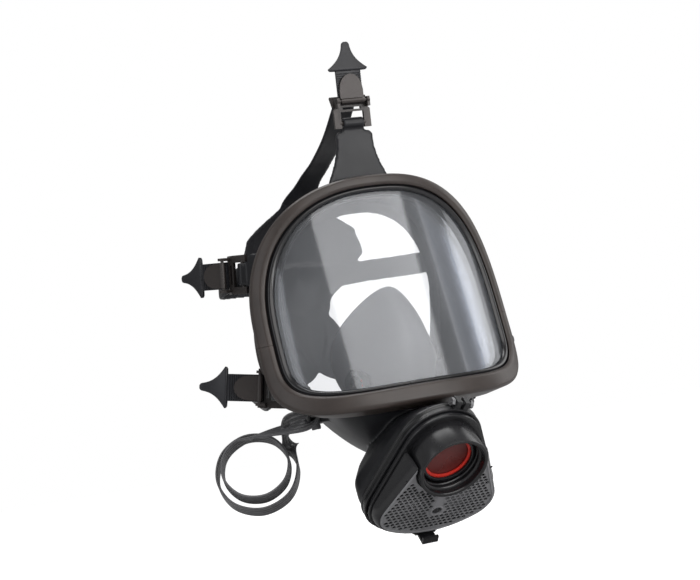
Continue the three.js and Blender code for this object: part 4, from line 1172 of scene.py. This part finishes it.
def strap_outline(drawn):
    """Stations along a strap end as [y, half width, lower face, upper face]."""
    s = STRAP
    base, tip = s["base"] + drawn, s["tip"] + drawn
    stations = [(s["start"], s["half"] - 0.4, s["low"] + 0.3, s["high"] - 0.3)]
    ribs = int((base - s["start"] - 1) / RIB_PITCH)
    for i in range(ribs):
        y = s["start"] + 0.5 + i * RIB_PITCH
        for step, dip in ((0, 0.5), (0.3, 0.5), (0.5, 0), (1.2, 0)):
            stations.append((y + step, s["half"], s["low"], s["high"] - dip))
    top = s["high"] + s["step"]
    stations.append((base - 0.15, s["half"], s["low"], s["high"]))
    stations.append((base, s["arrow"] - 1.2, s["low"], top - 0.3))
    stations.append((base + 0.7, s["arrow"] - 0.2, s["low"], top))
    barb, waist = (s["arrow"], base + 1.6), (s["arrow"] * 0.52, base + 6)
    flank = bezier(barb, waist, (3.6, base + 10), (2.6, tip - 2), 14)
    stations += [(y, x, s["low"], top) for x, y in flank]
    stations += [(tip - 1.0, 2.1, s["low"], top - 0.05), (tip - 0.3, 1.2, s["low"] + 0.2, top - 0.3)]
    return stations


def build_strap_end(name):
    sections = []
    drawn = DRAWN[set_kind(name)]
    for y, half, low, high in strap_outline(drawn):
        corners = [(-half, low), (half, low), (half, high), (-half, high)]
        loop = fillet(corners, 0.45, 3)
        sections.append(through(SETS[name], np.column_stack([loop[:, 0], np.full(len(loop), y), loop[:, 1]])))
    tail = solid("strap_tail_" + name, sections)
    # The rubber stays in the buckle and draws out between there and its grip; these two points are passed on, but
    # nothing uses them.
    held, free = through(SETS[name], [(0, STRAP["start"], 0), (0, STRAP["base"] + drawn, 0)])
    run = ("buckle_" + name, "tail_" + name, (held + SHIFT) * MM, (free + SHIFT) * MM)
    stand_for(tail, "strap_end_" + name, run, sharp=40)


def build_buckles():
    for name in SET_NAMES:
        bevelled("buckle_frame_" + name, 0.35)
        bevelled("buckle_lever_" + name, 0.4)
        build_strap_end(name)


# ---- head harness and carrying strap


def ribbon_frames(stations, count):
    """Points, half widths, sideways and outward directions along a ribbon."""
    points = [s[0] for s in stations]
    path = catmull(points, count)
    tangents = np.gradient(path, axis=0)
    out = []
    for i, point in enumerate(path):
        at = i / count * (len(stations) - 1)
        k = min(int(at), len(stations) - 2)
        mix = at - k
        ease = mix * mix * (3 - 2 * mix)
        half = stations[k][1] + (stations[k + 1][1] - stations[k][1]) * ease
        facing = np.asarray(stations[k][2]) * (1 - mix) + np.asarray(stations[k + 1][2]) * mix
        tangent = unit(tangents[i])
        wide = unit(np.cross(tangent, facing))
        out.append((point, half, wide, np.cross(wide, tangent)))
    return out


def harness_arm(points, count=80):
    """Rubber arm that bends round the head across its width."""
    stations = [(np.array(p[:3], float), p[3], np.array(p[:3], float) - HEAD) for p in points]
    t = HARNESS["thickness"] / 2
    across = np.linspace(1, -1, 13)
    sections = []
    for point, half, wide, normal in ribbon_frames(stations, count):
        half = max(half, 1)
        edge = 1 - 0.6 / half
        faces = [(a * edge, t) for a in across] + [(-1, 0)] + [(-a * edge, -t) for a in across] + [(1, 0)]
        loop = []
        for a, b in faces:
            sag = (a * half) ** 2 / (2 * HARNESS["bend"])
            loop.append(point + wide * a * half + normal * (b - sag))
        sections.append(loop)
    return solid("arm", sections)


def build_harness():
    arms = []
    for name in SET_NAMES:
        end = (*through(SETS[name], [(0, HARNESS["rise"], -HARNESS["drop"])])[0], STRAP["half"])
        if name == "top":
            arms.append(harness_arm((end, *CROWN), 120))
            continue
        side = -1 if name.endswith("right") else 1
        path = TEMPLE_ARM if name.startswith("temple") else CHEEK_ARM
        arms.append(harness_arm([*((side * x, y, z, half) for x, y, z, half in path), end]))
    fused = remoulded(merged("harness_spider", arms), 0.9, 16)
    stand_for(fused, "head_harness", sharp=0)


def carry_profile(half):
    """Closed section of the carrying strap: flat, with long grooves on both faces."""
    t = CARRY["thickness"] / 2
    lobes = CARRY["grooves"] + 1
    xs = np.linspace(half, -half, lobes * 6 + 1)
    dip = 0.36 * np.exp(-(((np.mod((xs + half) / (2 * half) * lobes + 0.5, 1) - 0.5) / 0.12) ** 2))
    dip[0] = dip[-1] = 0.35
    top = [(x, t - d) for x, d in zip(xs, dip)]
    return top + [(x, -z) for x, z in reversed(top)]


def build_carrying_strap():
    faces = unit(COIL_FACES)
    level = unit(np.cross((0, 0, 1), faces))
    up = np.cross(faces, level)
    coil = []
    for i in range(COIL["stations"] + 1):
        share = i / COIL["stations"]
        angle = radians(COIL["start"] + COIL["sweep"] * share)
        radial = level * cos(angle) + up * sin(angle)
        point = COIL_MIDDLE + radial * (COIL["inner"] + (COIL["outer"] - COIL["inner"]) * share)
        depth = COIL["near"] + (COIL["far"] - COIL["near"]) * share
        coil.append((point + faces * depth, CARRY["half"], radial))
    eye_x = STUD["x"] + CARRY["clear"] + 0.5

    def eye(side, y):
        return np.array((side * eye_x, STUD["y"] + y, STUD["z"])), CARRY["half"], np.array((side, 0, 0))

    lead = (np.array((-66, -26, -80.0)), CARRY["half"], unit(np.array((-0.6, -0.4, 0.7))))
    neck = []
    for x, y, z in ((-64, 26, -80), (-40, 44, -74), (0, 52, -74), (40, 44, -74), (64, 26, -76), (66, 4, -78)):
        neck.append((np.array((x, y, z), float), CARRY["half"], unit(np.array((x, y + 20, 0.0)))))
    length = CARRY["eye_length"]
    stations = [eye(-1, length), eye(-1, -length), lead, *coil, *neck, eye(1, length), eye(1, -length)]
    sections = []
    for point, half, wide, normal in ribbon_frames(stations, 620):
        sections.append([point + wide * a + normal * b for a, b in carry_profile(half)])
    strap = solid("carry_strap", sections)
    boolean(strap, "DIFFERENCE", cross_rod("eyes", CARRY["eye"], 300, np.eye(4), STUD["y"], STUD["z"]))
    stand_for(strap, "carrying_strap", "carry", sharp=50)


# ---- stage, light and camera


LIT = Vector((0, -0.02, 0))
# Each lamp's place, size, power and tint, in metres and watts.
SOFTBOXES = {
    "front": ((0.19, -1.16, 0.6), (1.75, 0.95), 13, (1, 0.985, 0.965)),
    "low": ((0.35, -1.2, -0.05), (1.0, 0.3), 5),
    "side": ((1.35, 0.15, 0.4), (0.5, 1.3), 4),
    "left": ((-1.3, -0.35, 0.35), (0.5, 1.2), 2.5, (0.95, 0.97, 1)),
    "above": ((0, 0.25, 1.5), (1.3, 1.0), 16),
}
CAMERA = {"turn": 22.5, "rise": -5, "roll": 10, "distance": 1.05, "lens": 81.8, "shift": (-0.05, 0.0143)}


def softbox(name, place, size, power, colour=(1, 1, 1)):
    """Rectangular lamp that faces the middle of the mask."""
    light = bpy.data.lights.new(name, "AREA")
    light.shape = "RECTANGLE"
    light.size, light.size_y = size
    light.energy = power
    light.color = colour
    lamp = linked(name, light)
    lamp.location = place
    lamp.rotation_mode = "QUATERNION"
    lamp.rotation_quaternion = (LIT - Vector(place)).to_track_quat("-Z", "Y")


def build_stage():
    low, _ = CAD_BOX
    size = 30
    corners = [(-size, -size), (size, -size), (size, size), (-size, size)]
    mesh = bpy.data.meshes.new("floor")
    mesh.from_pydata([(x, y, low.z - 0.002) for x, y in corners], [], [(0, 1, 2, 3)])
    floor = linked("floor", mesh)
    mesh.materials.append(floor_material())
    build_world()
    for name, lamp in SOFTBOXES.items():
        softbox(name, *lamp)


def build_world():
    """White backdrop for the camera, dimmer as a light on the object."""
    world = bpy.data.worlds.new("studio")
    bpy.context.scene.world = world
    world.use_nodes = True
    nodes, links = world.node_tree.nodes, world.node_tree.links
    backdrop = nodes["Background"]
    backdrop.inputs["Color"].default_value = WHITE
    seen = nodes.new("ShaderNodeLightPath").outputs["Is Camera Ray"]
    level = nodes.new("ShaderNodeMapRange")
    links.new(seen, level.inputs["Value"])
    level.inputs["To Min"].default_value = 0.32
    level.inputs["To Max"].default_value = 1.0
    links.new(level.outputs["Result"], backdrop.inputs["Strength"])


def build_camera():
    """Camera low on the wearer's right, level with the cheek, with the mask leaning in the picture."""
    turn, rise, roll = (radians(CAMERA[key]) for key in ("turn", "rise", "roll"))
    target = Vector((AIM + SHIFT) * MM)
    forward = Vector((sin(turn) * cos(rise), cos(turn) * cos(rise), -sin(rise)))
    right = Vector((cos(turn), -sin(turn), 0))
    up = right.cross(forward)
    across = right * cos(roll) - up * sin(roll)
    upward = right * sin(roll) + up * cos(roll)
    data = bpy.data.cameras.new("camera")
    camera = linked("camera", data)
    camera.matrix_world = Matrix((across, upward, -forward)).transposed().to_4x4()
    camera.location = target - forward * CAMERA["distance"]
    data.sensor_width = 36
    data.lens = CAMERA["lens"]
    data.shift_x, data.shift_y = CAMERA["shift"]
    bpy.context.scene.camera = camera
    bpy.context.scene.view_settings.view_transform = "Standard"


# ---- build

build_visor()
build_gasket()
build_frame()
build_facepiece()
build_housing()
build_cover()
build_port_fittings()
build_cup()
build_buckles()
build_harness()
build_carrying_strap()
for node, thing in frame["nodes"].items():
    if not thing.hide_render and thing.data.materials[0] not in LOOKS.values():
        dress(node)
build_stage()
build_camera()
